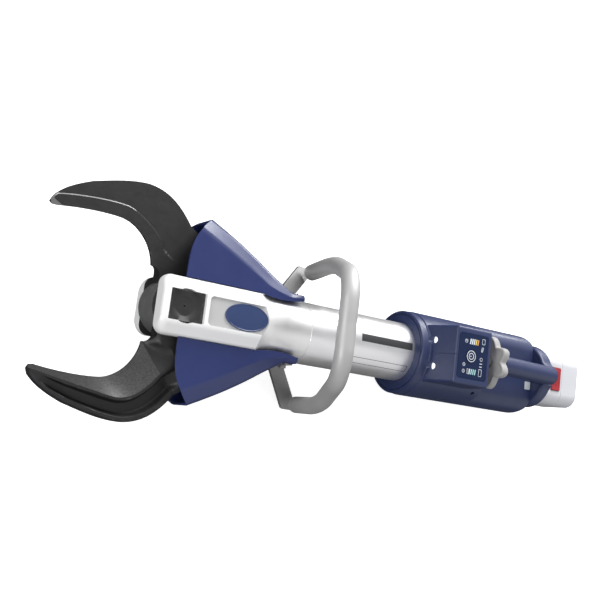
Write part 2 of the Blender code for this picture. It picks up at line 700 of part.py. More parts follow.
def make_guards():
    blue = material("guard plastic", (0.035, 0.055, 0.20), 0.0, 0.32)
    stations = [0.0, 0.14, 0.30, 0.46, 0.62, 0.74, 0.82, 0.88, 0.94, 1.0]
    for name, side in SIDES.items():
        loops = []
        for along in stations:
            loops.append(guard_skin(along, 0.0) + guard_skin(along, GUARD_WALL)[::-1])
        guard = place("guard_" + name, flip_side(loft(loops), side), blue)
        tail = box((-0.30, -0.150), (-0.2, 0.2), (-0.06, 0.0075))
        combine(guard, cutter("guard tail cut " + name, tail), "DIFFERENCE")
        x, z, radius = screw_places()[0]
        hole = crosswise([(0.040, radius + GAP), (0.06, radius + GAP)], (x, z), side)
        combine(guard, cutter("guard screw hole " + name, hole), "DIFFERENCE")
        head = crosswise([(0.0368, radius), (0.0489, radius), (0.0489, 0.0048), (0.0510, 0.0042),
                          (0.0516, 0.0028)], (x, z), side)
        place("guard_screw_" + name, head, material("screw steel " + name, (0.5, 0.5, 0.52), 1.0, 0.3))


# Front handle ---------------------------------------------------------------------------------------

def bracket_plate():
    """A flat strap from the neck, out, down and back to the foot of the handle."""
    corners = [Vector((-0.158, 0.0475, -0.004)), Vector((-0.2250, 0.109, -0.0600))]
    corners += [Vector((-0.2600, 0.109, -0.0720)), Vector((-0.1920, 0.0475, -0.018))]
    up = (corners[1] - corners[0]).cross(corners[3] - corners[0]).normalized()
    if up.z < 0:
        up = -up
    return loft([corners, [corner - up * BRACKET_THICKNESS for corner in corners]])


def make_front_handle():
    grey = material("handle aluminium", (0.62, 0.63, 0.64), 0.8, 0.4)
    dark = material("bracket aluminium", (0.45, 0.46, 0.47), 0.8, 0.45)
    for name, side in SIDES.items():
        pad = box((-0.193, -0.157), (0.0450, 0.0490), (-0.0240, 0.0070))
        bracket = place("handle_bracket_" + name, flip_side(pad, side), dark)
        combine(bracket, cutter("bracket strap " + name, flip_side(bracket_plate(), side)), "UNION")
        for x, z, radius in screw_places()[1:]:
            hole = crosswise([(0.040, radius + GAP), (0.06, radius + GAP)], (x, z), side)
            combine(bracket, cutter("bracket hole %s %.3f" % (name, x), hole), "DIFFERENCE")
            end = "front" if x > -0.17 else "rear"
            bolt = crosswise([(0.0355, radius), (0.0493, radius), (0.0493, 0.0055), (0.0533, 0.0055),
                              (0.0540, 0.0048)], (x, z), side)
            place("bracket_bolt_%s_%s" % (name, end), bolt,
                  material("bolt zinc %s %s" % (name, end), (0.45, 0.45, 0.46), 1.0, 0.35))
    corners = []
    for side in (-1, 1):
        left = (BAIL_FOOT, BAIL_KNEE, BAIL_SHOULDER)
        half = [Vector((point.x, side * point.y, point.z)) for point in left]
        corners += half if side < 0 else half[::-1]
    path = smooth_path(corners, 0.034, 5)
    place("front_handle", sweep(path, BAIL_RADIUS, SMALL_ROUND), grey)


# Housing --------------------------------------------------------------------------------------------

def console_side():
    points = [(-0.3935, 0.030), (-0.3945, 0.050), (-0.4115, CONSOLE_TOP)]
    return points + [(CONSOLE_BACK, CONSOLE_TOP), (CONSOLE_BACK, 0.030)]


def grip_frame():
    return Matrix.Translation(GRIP_CENTRE) @ Matrix.Rotation(-GRIP_TILT, 4, "Y")


def on_grip_axis(bm):
    bmesh.ops.transform(bm, matrix=grip_frame(), verts=bm.verts)
    return bm


def light_frame(side):
    lean = math.radians(-72)
    return Matrix.Translation((LIGHT_X, side * LIGHT_Y, LIGHT_Z)) @ Matrix.Rotation(lean, 4, "Y")


def light_disc(radius, low, high, side):
    """An oval disc square to the console's sloping front."""
    outline = []
    for i in range(SMALL_ROUND):
        angle = 2 * math.pi * i / SMALL_ROUND
        outline.append((0.8 * radius * math.cos(angle), radius * math.sin(angle)))
    bm = prism(outline, low, high)
    turn = light_frame(side) @ Matrix.Rotation(math.radians(180), 4, "X")
    bmesh.ops.transform(bm, matrix=turn, verts=bm.verts)
    return bm


def housing_cutters():
    bore = TUBE_RADIUS + GAP
    cuts = [("tube bore", turned([(HOUSING_FRONT + 0.01, bore), (-0.4050, bore)]))]
    rise = math.degrees(math.asin(CAVITY_CEILING / CAVITY_RADIUS))
    section = arc((0.0, 0.0), CAVITY_RADIUS, 180 - rise, 360 + rise, 28)
    hall = loft([[(-0.4047, y, z) for y, z in section], [(HALL_BACK, y, z) for y, z in section]])
    cuts.append(("main cavity", hall))
    throat = box((-0.70, HALL_BACK + 0.002), (-0.034, 0.034), (-0.030, 0.024))
    cuts.append(("waist cavity", throat))
    cuts.append(("console cavity", box((-0.482, -0.418), (-0.038, 0.038), (0.052, 0.0985))))
    cuts.append(("wire duct", box((-0.470, -0.460), (0.024, 0.034), (0.020, 0.060))))
    outline = rounded_rectangle(PANEL_X - PANEL_HALF_LENGTH, PANEL_X + PANEL_HALF_LENGTH,
                                -PANEL_HALF_WIDTH, PANEL_HALF_WIDTH, 0.005)
    cuts.append(("panel recess", prism(outline, CONSOLE_TOP - 0.0014, CONSOLE_TOP + 0.01)))
    cuts.append(("button well", upright([(0.090, BUTTON_RADIUS + 0.001), (FAR, BUTTON_RADIUS + 0.001)],
                                        (BUTTON_X, 0.0), SMALL_ROUND)))
    wheel = on_grip_axis(turned([(0.0135, 0.044), (-0.0135, 0.044)]))
    cuts.append(("wheel slot", wheel))
    cuts.append(("slot mouth", box((SADDLE_FRONT, -0.4895), (-0.044, 0.044), (0.081, 0.12))))
    across = SADDLE_TOP - SADDLE_SHOULDER
    flat = HOUSING_RADIUS - 0.001 - SADDLE_SHOULDER
    section = arc((flat, across), SADDLE_SHOULDER, 0, 90, 8)
    section += arc((-flat, across), SADDLE_SHOULDER, 90, 180, 8)
    section += [(-0.08, across), (-0.08, 0.12), (0.08, 0.12), (0.08, across)]
    saddle = loft([[(x, y, z) for y, z in section] for x in (-0.70, SADDLE_FRONT)])
    cuts.append(("handle saddle", saddle))
    socket = on_grip_axis(turned([(0.040, 0.0095), (-0.02, 0.0095)], SMALL_ROUND))
    cuts.append(("spindle hole", socket))
    for side in SIDES.values():
        cuts.append(("light seat %d" % side, light_disc(0.0052, -0.0025, 0.01, side)))
    cuts.append(("foot flat", box((-0.70, -0.35), (-0.1, 0.1), (-0.10, -FOOT_DROP))))
    return cuts


def housing_outside():
    profile = [(HOUSING_FRONT, 0.0632), (HOUSING_FRONT - 0.0025, HOUSING_RADIUS)]
    profile += [(HOUSING_BACK + 0.014, HOUSING_RADIUS), (HOUSING_BACK + 0.004, 0.0615)]
    profile.append((HOUSING_BACK, 0.0560))
    return turned(profile, 40)


def make_housing():
    blue = material("housing plastic", (0.045, 0.07, 0.22), 0.0, 0.45)
    console = cutter("console block", side_prism(console_side(), -CONSOLE_HALF_WIDTH, CONSOLE_HALF_WIDTH))
    bevel(console, 0.004, 2)
    cuts = [cutter(name, bm) for name, bm in housing_cutters()]
    for name, side in SIDES.items():
        half = place("housing_" + name, housing_outside(), blue)
        combine(half, console, "UNION")
        for cut in cuts:
            combine(half, cut, "DIFFERENCE")
        y_low, y_high = sorted((side * 0.5 * GAP, side * 0.2))
        keep = box((-0.8, 0.0), (y_low, y_high), (-0.2, 0.2))
        combine(half, cutter("half " + name, keep), "INTERSECT")


def make_front_ring():
    groove = 0.0586
    wall = [(-0.3800, TUBE_RADIUS + GAP), (-0.3800, groove - 0.0008), (-0.3812, groove - 0.0004)]
    wall += [(-0.3812, groove + 0.0004), (-0.3800, groove + 0.0008), (-0.3800, 0.0622), (-0.3820, 0.0640)]
    wall += [(HOUSING_FRONT + GAP, 0.0640), (HOUSING_FRONT + GAP, TUBE_RADIUS + GAP)]
    blue = material("ring plastic", (0.045, 0.07, 0.22), 0.0, 0.4)
    place("front_ring", turned(wall, ring=True), blue)


def make_control_panel():
    inset = GAP
    outline = rounded_rectangle(PANEL_X - PANEL_HALF_LENGTH + inset, PANEL_X + PANEL_HALF_LENGTH - inset,
                                -PANEL_HALF_WIDTH + inset, PANEL_HALF_WIDTH - inset, 0.005 - inset)
    panel = place("control_panel", prism(outline, CONSOLE_TOP - 0.0011, CONSOLE_TOP + 0.0002),
                  material("panel film", (0.02, 0.03, 0.10), 0.0, 0.25))
    room = BUTTON_RADIUS + 0.0004
    hole = upright([(0.09, room), (FAR, room)], (BUTTON_X, 0.0), SMALL_ROUND)
    combine(panel, cutter("button hole", hole), "DIFFERENCE")
    base = (BUTTON_X, 0.0, CONSOLE_TOP)
    shape = upright([(CONSOLE_TOP - 0.004, BUTTON_RADIUS), (CONSOLE_TOP + BUTTON_TRAVEL, BUTTON_RADIUS),
                     (CONSOLE_TOP + 0.0012, BUTTON_RADIUS - 0.0008)], (BUTTON_X, 0.0), SMALL_ROUND)
    place("power_button", shape, material("button film", (0.03, 0.05, 0.16), 0.0, 0.3), base)
    for name, side in SIDES.items():
        lens = light_disc(0.0049, -0.0022, 0.0006, side)
        place("work_light_" + name, lens, material("light lens " + name, (0.9, 0.92, 0.95), 0.0, 0.2))
    board = box((-0.4640, -0.4200), (-0.034, 0.034), (0.0930, 0.0950))
    place("control_board", board, material("board green", (0.02, 0.12, 0.05), 0.0, 0.5))


# Twist grip, valve and rear handle ------------------------------------------------------------------

def star_outline():
    """Six blunt tips, the two straight out to the sides being the longest, with hollows between them."""
    points = []
    steps = 48
    for i in range(steps):
        angle = 2 * math.pi * i / steps
        sideways = math.cos(angle) ** 2
        tip = GRIP_SHORT_TIP + (GRIP_TIP - GRIP_SHORT_TIP) * sideways ** 2
        hollow = GRIP_HOLLOW + 0.003 * sideways
        wave = 0.5 + 0.5 * math.cos(6 * angle)
        points.append((angle, hollow + (tip - hollow) * wave ** 0.8))
    return points


def make_twist_grip():
    loops = []
    for x, shrink in ((GRIP_HALF_THICKNESS, 0.0016), (GRIP_HALF_THICKNESS - 0.0016, 0.0),
                      (-GRIP_HALF_THICKNESS + 0.0016, 0.0), (-GRIP_HALF_THICKNESS, 0.0016)):
        outline = [(a, r - shrink) for a, r in star_outline()]
        loops.append([(x, r * math.cos(a), r * math.sin(a)) for a, r in outline])
    grey = material("grip rubber", (0.48, 0.47, 0.46), 0.0, 0.55)
    grip = place("twist_grip", on_grip_axis(loft(loops)), grey, GRIP_CENTRE)
    hole = on_grip_axis(turned([(0.03, 0.0080 + GAP), (-0.03, 0.0080 + GAP)], SMALL_ROUND))
    combine(grip, cutter("grip bore", hole), "DIFFERENCE")
    spindle = on_grip_axis(turned([(0.036, 0.0072), (0.034, 0.0080), (-0.0300, 0.0080)], SMALL_ROUND))
    steel = material("spindle steel", (0.5, 0.5, 0.52), 1.0, 0.3)
    shaft = place("grip_spindle", spindle, steel, GRIP_CENTRE)
    key = on_grip_axis(box((0.029, 0.034), (-0.0022, 0.0022), (-0.0212, -0.006)))
    combine(shaft, cutter("spindle key", key), "UNION")


def valve_centre():
    """Under the spindle's key, square below the grip axis."""
    return grip_frame() @ Vector((0.0315, 0.0, -0.0225))


def make_valve():
    centre = valve_centre()
    x, z = centre.x, centre.z
    block = place("valve_block", box((x - 0.006, x + 0.009), (-0.032, 0.032), (z - 0.0092, z + 0.0075)),
                  material("valve aluminium", (0.55, 0.56, 0.57), 0.9, 0.4))
    bore = crosswise([(-0.04, 0.0043), (0.04, 0.0043)], (x, z), 1)
    combine(block, cutter("valve bore", bore), "DIFFERENCE")
    window = box((x - 0.0045, x + 0.0045), (-0.013, 0.013), (z, z + 0.02))
    combine(block, cutter("valve window", window), "DIFFERENCE")
    spool = place("valve_spool", crosswise([(-0.025, 0.0040), (0.025, 0.0040)], (x, z), 1),
                  material("spool steel", (0.6, 0.6, 0.62), 1.0, 0.2), (x, 0.0, z))
    notch = box((x - 0.008, x + 0.008), (-0.0034, 0.0034), (z - 0.0005, z + 0.02))
    combine(spool, cutter("spool notch", notch), "DIFFERENCE")


def make_rear_handle():
    """A round bar behind the grip that turns down into the wall above the battery."""
    start = grip_frame() @ Vector((-0.0165, 0.0, 0.0))
    end = grip_frame() @ Vector((-HANDLE_LENGTH, 0.0, 0.0))
    bar = place("rear_handle", sweep([start, end], HANDLE_RADIUS, 24),
                material("handle plastic", (0.045, 0.07, 0.22), 0.0, 0.42))
    bevel(bar, 0.004, 2)
    seat = on_grip_axis(turned([(0.0, 0.0080 + GAP), (-0.0310, 0.0080 + GAP)], SMALL_ROUND))
    combine(bar, cutter("spindle seat", seat), "DIFFERENCE")


# Battery end ----------------------------------------------------------------------------------------

def dock_outline(x, inset):
    """Rounded wall around the battery, higher in the middle where the rear handle lands."""
    half = 0.052 - inset
    points = arc((0.0, -0.006), half, 180, 360, 20)
    points += arc((0.0, 0.008), half, 8, 62, 6)
    points += arc((0.0, 0.051), 0.0185 - inset, 30, 150, 6)
    points += arc((0.0, 0.008), half, 118, 172, 6)
    return [(x, y, z) for y, z in points]


def make_battery_dock():
    stations = [(DOCK_FRONT, 0.002), (DOCK_FRONT - 0.003, 0.0)]
    stations += [(DOCK_BACK + 0.003, 0.0), (DOCK_BACK, 0.002)]
    dock = place("battery_dock", loft([dock_outline(x, inset) for x, inset in stations]),
                 material("dock plastic", (0.04, 0.06, 0.19), 0.0, 0.42))
    room = PLUG_HALF_WIDTH + PLUG_ROOM
    opening = box((-FAR * 5, -0.60), (-room, room), (PLUG_BOTTOM - PLUG_ROOM, PLUG_TOP + PLUG_ROOM))
    combine(dock, cutter("dock opening", opening), "DIFFERENCE")
    strap_hole = turned([(-0.60, 0.0052), (-0.70, 0.0052)], SMALL_ROUND, (0.0350, 0.026))
    combine(dock, cutter("strap hole", strap_hole), "DIFFERENCE")
    seat = on_grip_axis(turned([(-0.10, HANDLE_RADIUS + GAP), (-0.20, HANDLE_RADIUS + GAP)], 24))
    combine(dock, cutter("handle seat", seat), "DIFFERENCE")


def battery_section(x, inset):
    outline = rounded_rectangle(-BATTERY_HALF_WIDTH + inset, BATTERY_HALF_WIDTH - inset,
                                BATTERY_BOTTOM + inset, BATTERY_TOP - inset, 0.020, 5)
    return [(x, y, z) for y, z in outline]


def make_battery():
    stations = [(BATTERY_FRONT, 0.002), (BATTERY_FRONT - 0.002, 0.0), (BATTERY_BACK + 0.006, 0.0)]
    stations += [(BATTERY_BACK + 0.0015, 0.0025), (BATTERY_BACK, 0.0065)]
    pack = place("battery_pack", loft([battery_section(x, inset) for x, inset in stations]),
                 material("battery plastic", (0.78, 0.79, 0.81), 0.0, 0.4))
    width = (-PLUG_HALF_WIDTH, PLUG_HALF_WIDTH)
    plug = box((BATTERY_FRONT - 0.01, PLUG_FRONT), width, (PLUG_BOTTOM, PLUG_TOP))
    combine(pack, cutter("battery plug", plug), "UNION")
    socket = box((-0.6450, -0.60), (-0.022, 0.022), (-0.0085, 0.0085))
    combine(pack, cutter("battery socket", socket), "DIFFERENCE")
    room = 0.001
    length = (LATCH_CENTRE - LATCH_HALF_LENGTH, LATCH_CENTRE + LATCH_HALF_LENGTH)
    width = LATCH_HALF_WIDTH + room
    floor = LATCH_BOTTOM - LATCH_TRAVEL - room
    seat = box((length[0] - room, length[1] + room), (-width, width), (floor, FAR))
    combine(pack, cutter("latch seat", seat), "DIFFERENCE")
    latch = box(length, (-LATCH_HALF_WIDTH, LATCH_HALF_WIDTH), (LATCH_BOTTOM, LATCH_TOP))
    button = place("battery_latch", latch, material("latch red", (0.55, 0.03, 0.04), 0.0, 0.4),
                   (LATCH_CENTRE, 0.0, LATCH_TOP))
    bevel(button, 0.001, 1)


def make_contact_block():
    block = place("contact_block", box((-0.6190, -0.6130), (-0.030, 0.030), (-0.0260, 0.0200)),
                  material("contact plastic", (0.03, 0.03, 0.035), 0.0, 0.5))
    tongue = box((-0.6420, -0.6150), (-0.020, 0.020), (-0.0065, 0.0065))
    combine(block, cutter("contact tongue", tongue), "UNION")


# Drive ----------------------------------------------------------------------------------------------

def make_drive():
    wall = [(-0.4062, 0.0060), (-0.4062, 0.0340), (-0.4470, 0.0340), (-0.4470, 0.0060)]
    shape = turned(wall, ROUND, DRIVE_CENTRE, ring=True)
    place("pump_block", shape, material("pump aluminium", (0.5, 0.51, 0.52), 0.9, 0.45))
    wall = [(-0.4480, 0.0080), (-0.4480, 0.0330), (-0.5400, 0.0330), (-0.5400, 0.0080)]
    wall += [(-0.5360, 0.0080), (-0.5360, 0.0290), (-0.4520, 0.0290), (-0.4520, 0.0080)]
    shape = turned(wall, ROUND, DRIVE_CENTRE, ring=True)
    place("motor_can", shape, material("can steel", (0.35, 0.36, 0.37), 1.0, 0.4))
    profile = [(-0.4070, 0.0050), (-0.4600, 0.0050), (-0.4602, 0.0260), (-0.5280, 0.0260)]
    profile += [(-0.5282, 0.0050), (-0.5450, 0.0050)]
    axle = (-0.4600, *DRIVE_CENTRE)
    shape = turned(profile, ROUND, DRIVE_CENTRE)
    place("motor_rotor", shape, material("rotor copper", (0.6, 0.3, 0.15), 0.9, 0.4), axle)
    tank = place("oil_reservoir", box((-0.5980, -0.5500), (-0.036, 0.036), (-0.0400, 0.0200)),
                 material("reservoir rubber", (0.04, 0.04, 0.045), 0.0, 0.6))
    bevel(tank, 0.008, 2)


def main():
    clear_scene()
    make_yoke()
    make_badge()
    make_pivot()
    make_blades()
    make_links()
    make_pins()
    make_crosshead()
    make_piston_parts()
    make_cylinder_parts()
    make_guards()
    make_front_handle()
    make_housing()
    make_front_ring()
    make_control_panel()
    make_twist_grip()
    make_valve()
    make_rear_handle()
    make_battery_dock()
    make_battery()
    make_contact_block()
    make_drive()


main()
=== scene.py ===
"""Looks for the battery rescue cutter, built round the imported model. Metres, in the model's own frame."""
import json
from math import asin, cos, degrees, pi, radians, sin, sqrt, tan

import bmesh
import bpy
from mathutils import Matrix, Vector
from mathutils.geometry import delaunay_2d_cdt, interpolate_bezier


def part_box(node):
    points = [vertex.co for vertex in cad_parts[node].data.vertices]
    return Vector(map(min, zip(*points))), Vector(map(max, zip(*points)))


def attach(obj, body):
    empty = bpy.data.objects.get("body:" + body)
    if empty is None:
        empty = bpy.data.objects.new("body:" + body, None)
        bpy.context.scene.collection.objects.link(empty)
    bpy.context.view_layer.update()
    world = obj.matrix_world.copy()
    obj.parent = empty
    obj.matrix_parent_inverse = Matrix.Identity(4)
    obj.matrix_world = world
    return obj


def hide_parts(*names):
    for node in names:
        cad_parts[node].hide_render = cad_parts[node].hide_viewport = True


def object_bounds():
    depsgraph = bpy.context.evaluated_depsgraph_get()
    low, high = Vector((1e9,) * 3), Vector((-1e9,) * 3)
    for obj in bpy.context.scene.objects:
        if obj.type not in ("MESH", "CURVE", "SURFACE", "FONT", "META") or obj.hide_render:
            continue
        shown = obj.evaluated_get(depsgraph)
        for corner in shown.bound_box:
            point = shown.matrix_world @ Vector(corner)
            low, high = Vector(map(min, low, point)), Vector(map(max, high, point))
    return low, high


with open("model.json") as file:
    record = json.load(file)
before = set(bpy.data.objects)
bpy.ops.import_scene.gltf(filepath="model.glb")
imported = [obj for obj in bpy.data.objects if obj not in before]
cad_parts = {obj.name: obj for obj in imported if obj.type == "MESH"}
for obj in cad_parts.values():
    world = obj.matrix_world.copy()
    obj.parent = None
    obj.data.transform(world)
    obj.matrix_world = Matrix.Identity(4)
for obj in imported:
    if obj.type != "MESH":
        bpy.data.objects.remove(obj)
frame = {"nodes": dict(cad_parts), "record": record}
CAD_LOW, CAD_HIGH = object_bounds()

TUBE_LOW, TUBE_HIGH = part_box("cylinder_tube")
AXIS = (TUBE_LOW.z + TUBE_HIGH.z) / 2
GAP = 0.0003
BEYOND = 0.06  # reaches past the surface of the fork, a strap or the battery
FINE = 96
SIDES = {"left": 1, "right": -1}


# Materials ------------------------------------------------------------------------------------------

def add(tree, kind, inputs=None, **settings):
    """A shader node; an input is given as a value or as the socket that feeds it."""
    made = tree.nodes.new("ShaderNode" + kind)
    for name, value in settings.items():
        setattr(made, name, value)
    for name, value in (inputs or {}).items():
        if isinstance(value, bpy.types.NodeSocket):
            tree.links.new(value, made.inputs[name])
        else:
            made.inputs[name].default_value = value
    return made


def add_noise(tree, scale, detail=3.0, stretch=(1.0, 1.0, 1.0)):
    """Noise in the object's own coordinates, in cycles per metre."""
    place = add(tree, "TexCoord").outputs["Object"]
    spread = add(tree, "Mapping", {"Vector": place, "Scale": stretch}).outputs["Vector"]
    return add(tree, "TexNoise", {"Vector": spread, "Scale": scale, "Detail": detail}).outputs["Fac"]


def grey(level):
    """Three equal values for a single number; a colour stays as it is."""
    return level if hasattr(level, "__len__") else (level, level, level)


def ramp(tree, value, low, high, start=0.3, end=0.7):
    made = add(tree, "ValToRGB", {"Fac": value})
    for stop, place, level in zip(made.color_ramp.elements, (start, end), (low, high)):
        stop.position = place
        stop.color = (*grey(level), 1.0)
    return made.outputs["Color"]


def add_wear_and_edge_sheen(tree, color, worn, amount):
    """Lighter edges, partly rubbed wear and partly a painted edge highlight: the pointed parts of the mesh
    broken up by noise.
    """
    form = add(tree, "NewGeometry").outputs["Pointiness"]
    edges = ramp(tree, form, 0.0, 1.0, 0.52, 0.60)
    patches = ramp(tree, add_noise(tree, 90.0), 0.0, 1.0, 0.40, 0.65)
    both = add(tree, "Math", {0: edges, 1: patches}, operation="MULTIPLY").outputs["Value"]
    share = add(tree, "Math", {0: both, 1: amount}, operation="MULTIPLY").outputs["Value"]
    mix = add(tree, "Mix", {"Factor": share, "A": color, "B": (*grey(worn), 1.0)}, data_type="RGBA")
    return mix.outputs["Result"]


def finish(name, color, metallic, roughness, grain=1500.0, bump=0.15, depth=0.00004, vary=0.12,
           blotch=14.0, stretch=(1.0, 1.0, 1.0), coat=0.0, worn=None, wear=0.0, sheen=0.0, shine=0.5):
    """A Principled material whose colour, roughness and surface all carry fine variation."""
    color = grey(color)
    made = bpy.data.materials.new(name)
    made.use_nodes = True
    tree = made.node_tree
    shader = tree.nodes["Principled BSDF"]
    low = [c * (1.0 - vary) for c in color]
    high = [min(1.0, c * (1.0 + vary)) for c in color]
    tone = ramp(tree, add_noise(tree, blotch, 6.0, stretch), low, high)
    # Pale pointed edges: rubbed wear, and partly a painted edge highlight.
    if worn:
        tone = add_wear_and_edge_sheen(tree, tone, worn, wear)
    tree.links.new(tone, shader.inputs["Base Color"])
    spots = add_noise(tree, blotch * 4, 4.0, stretch)
    rough = ramp(tree, spots, roughness * 0.88, min(1.0, roughness * 1.12))
    tree.links.new(rough, shader.inputs["Roughness"])
    for socket, value in (("Metallic", metallic), ("Coat Weight", coat), ("Coat Roughness", 0.12),
                          ("Sheen Weight", sheen), ("Specular IOR Level", shine)):
        shader.inputs[socket].default_value = value
    height = add_noise(tree, grain, 2.0, stretch)
    raised = add(tree, "Bump", {"Strength": bump, "Distance": depth, "Height": height})
    tree.links.new(raised.outputs["Normal"], shader.inputs["Normal"])
    return made


def frosted_lens():
    """A frosted lens that shines a little."""
    color = (0.95, 0.97, 1.0)
    made = finish("lens_white", color, 0.0, 0.25, bump=0.05, vary=0.03)
    shader = made.node_tree.nodes["Principled BSDF"]
    shader.inputs["Emission Color"].default_value = (*color, 1.0)
    shader.inputs["Emission Strength"].default_value = 0.7
    return made


def satin_steel():
    """Pearl-blasted on the fork, going over to polished steel on the neck behind it."""
    made = finish("yoke_satin", (0.91, 0.91, 0.905), 0.15, 0.36, 1600.0, 0.05, 0.00002, 0.02)
    tree = made.node_tree
    place = add(tree, "SeparateXYZ", {"Vector": add(tree, "TexCoord").outputs["Object"]}).outputs["X"]
    share = add(tree, "MapRange", {"Value": place, "From Min": -0.150, "From Max": -0.115,
                                   "To Min": 0.85, "To Max": 0.15})
    tree.links.new(share.outputs["Result"], tree.nodes["Principled BSDF"].inputs["Metallic"])
    return made


# Colour, metallic value and roughness, then what differs from a plain finish.
FINISHES = {
    "tube_satin": ((0.90, 0.90, 0.905), 0.80, 0.335, dict(bump=0.05, depth=0.00002, vary=0.02)),
    "cast_alloy": ((0.50, 0.50, 0.495), 0.30, 0.50, dict(grain=1300.0, bump=0.12, vary=0.05)),
    "bracket_alloy": (0.27, 0.55, 0.45, dict(grain=1300.0, bump=0.18, vary=0.06)),
    "blade_black": ((0.021, 0.021, 0.022), 0.35, 0.46, dict(
        grain=850.0, bump=0.30, depth=0.00006, vary=0.18, blotch=60.0, worn=0.16, wear=0.25)),
    # The step's strip gets a light grey metal: a painted highlight along the step on the flat side.
    "blade_step_highlight": (0.52, 0.6, 0.34, dict(bump=0.12, vary=0.15, blotch=60.0)),
    # The groove gets a near-black colour, darker than the blade: a painted shade in the groove.
    "blade_groove_shade": ((0.006, 0.006, 0.0062), 0.1, 0.50, dict(
        grain=1100.0, bump=0.25, vary=0.15, blotch=60.0)),
    "blade_bevel": ((0.052, 0.052, 0.053), 0.35, 0.44, dict(
        grain=1000.0, bump=0.30, depth=0.00006, vary=0.35, blotch=420.0)),
    # Lighter grey for the hub's side wall and the cut tip faces: a painted highlight.
    "blade_rim_highlight": (0.20, 0.5, 0.40, dict(bump=0.12, vary=0.15, blotch=60.0)),
    "slot_shade": ((0.020, 0.020, 0.021), 0.1, 0.45, dict(vary=0.10)),
    "recess_grey": (0.50, 0.15, 0.45, dict(bump=0.10, vary=0.04)),
    "bolt_dark": (0.060, 0.75, 0.42, dict(vary=0.10, worn=0.35, wear=0.5)),
    "steel_plain": ((0.42, 0.42, 0.43), 1.0, 0.32, dict(grain=1400.0, bump=0.12, vary=0.06)),
    "screw_zinc": ((0.48, 0.48, 0.49), 1.0, 0.34, dict(grain=1800.0, bump=0.12, vary=0.07)),
    "rod_chrome": ((0.85, 0.85, 0.87), 1.0, 0.08, dict(grain=2200.0, bump=0.03, vary=0.02)),
    "bronze": ((0.55, 0.36, 0.16), 1.0, 0.34, dict(grain=1400.0, bump=0.12, vary=0.10)),
    "guard_navy": ((0.020, 0.032, 0.125), 0.0, 0.34, dict(
        grain=1600.0, bump=0.04, depth=0.00002, vary=0.04, coat=0.30, shine=0.40)),
    "housing_navy": ((0.026, 0.038, 0.106), 0.0, 0.42, dict(
        grain=2000.0, bump=0.28, depth=0.00005, vary=0.07, blotch=40.0, coat=0.10)),
    "grip_grey": ((0.37, 0.365, 0.36), 0.0, 0.50, dict(grain=1700.0, bump=0.20, vary=0.05, sheen=0.1)),
    "panel_film": ((0.009, 0.019, 0.060), 0.0, 0.48, dict(grain=2500.0, bump=0.06, vary=0.05, shine=0.20)),
    "badge_blue": ((0.026, 0.048, 0.135), 0.0, 0.34, dict(grain=900.0, bump=0.06, vary=0.06, coat=0.25)),
    "battery_grey": ((0.66, 0.67, 0.70), 0.0, 0.40, dict(grain=1900.0, bump=0.20, vary=0.03)),
    "latch_red": ((0.42, 0.035, 0.045), 0.0, 0.36, dict(vary=0.08)),
    "seal_rubber": (0.018, 0.0, 0.62, dict(bump=0.30, vary=0.15)),
    "board_green": ((0.015, 0.09, 0.035), 0.0, 0.35, dict(grain=900.0, bump=0.25, vary=0.20)),
    "contact_black": ((0.02, 0.02, 0.022), 0.0, 0.50, dict(bump=0.20, vary=0.10)),
    "rotor_copper": ((0.60, 0.27, 0.12), 1.0, 0.35, dict(
        grain=500.0, bump=0.40, vary=0.15, stretch=(0.2, 4.0, 4.0))),
    "icon_white": ((0.70, 0.74, 0.78), 0.0, 0.45, dict(bump=0.05, vary=0.03)),
    "icon_teal": ((0.35, 0.62, 0.62), 0.0, 0.45, dict(bump=0.05, vary=0.03)),
    "icon_yellow": ((0.75, 0.62, 0.12), 0.0, 0.45, dict(bump=0.05, vary=0.03)),
    "icon_orange": ((0.72, 0.33, 0.10), 0.0, 0.45, dict(bump=0.05, vary=0.03)),
    "label_dark": ((0.035, 0.036, 0.038), 0.0, 0.38, dict(bump=0.05, vary=0.05)),
    "label_pale": ((0.55, 0.58, 0.62), 0.0, 0.40, dict(bump=0.05, vary=0.04)),
}
MATERIALS = {name: finish(name, *row[:3], **row[3]) for name, row in FINISHES.items()}
MATERIALS["yoke_satin"] = satin_steel()
MATERIALS["lens_white"] = frosted_lens()


# Mesh helpers: shapes are drawn about the cylinder's axis and lifted to it ---------------------------

def put(thing):
    bpy.context.scene.collection.objects.link(thing)
    return thing


def raw(name, bm, lift=AXIS):
    bmesh.ops.recalc_face_normals(bm, faces=bm.faces)
    bmesh.ops.translate(bm, verts=bm.verts, vec=(0.0, 0.0, lift))
    mesh = bpy.data.meshes.new(name)
    bm.to_mesh(mesh)
    bm.free()
    return put(bpy.data.objects.new(name, mesh))


def settle(thing):
    """Make the modifiers' result the object's own mesh."""
    bpy.context.view_layer.update()
    graph = bpy.context.evaluated_depsgraph_get()
    mesh = bpy.data.meshes.new_from_object(thing.evaluated_get(graph))
    old = thing.data
    thing.modifiers.clear()
    thing.data = mesh
    bpy.data.meshes.remove(old)


def combine(thing, tool, operation):
    step = thing.modifiers.new("combine", "BOOLEAN")
    step.operation = operation
    step.object = tool
    step.solver = "EXACT"
    settle(thing)
    bpy.data.objects.remove(tool)


def carve(thing, bm, operation="DIFFERENCE"):
    combine(thing, raw("tool", bm), operation)


def tidy(thing, angle=1.0):
    """Merge coplanar faces left by the cuts, so that edges can be rounded cleanly."""
    bm = bmesh.new()
    bm.from_mesh(thing.data)
    bmesh.ops.remove_doubles(bm, verts=bm.verts, dist=0.00002)
    bmesh.ops.dissolve_limit(bm, angle_limit=radians(angle), verts=bm.verts, edges=bm.edges)
    bm.to_mesh(thing.data)
    bm.free()


def soften(thing, width, segments=3, angle=35):
    step = thing.modifiers.new("edges", "BEVEL")
    step.width = width
    step.segments = segments
    step.limit_method = "ANGLE"
    step.angle_limit = radians(angle)
    step.miter_outer = "MITER_ARC"
    step.harden_normals = False
    settle(thing)


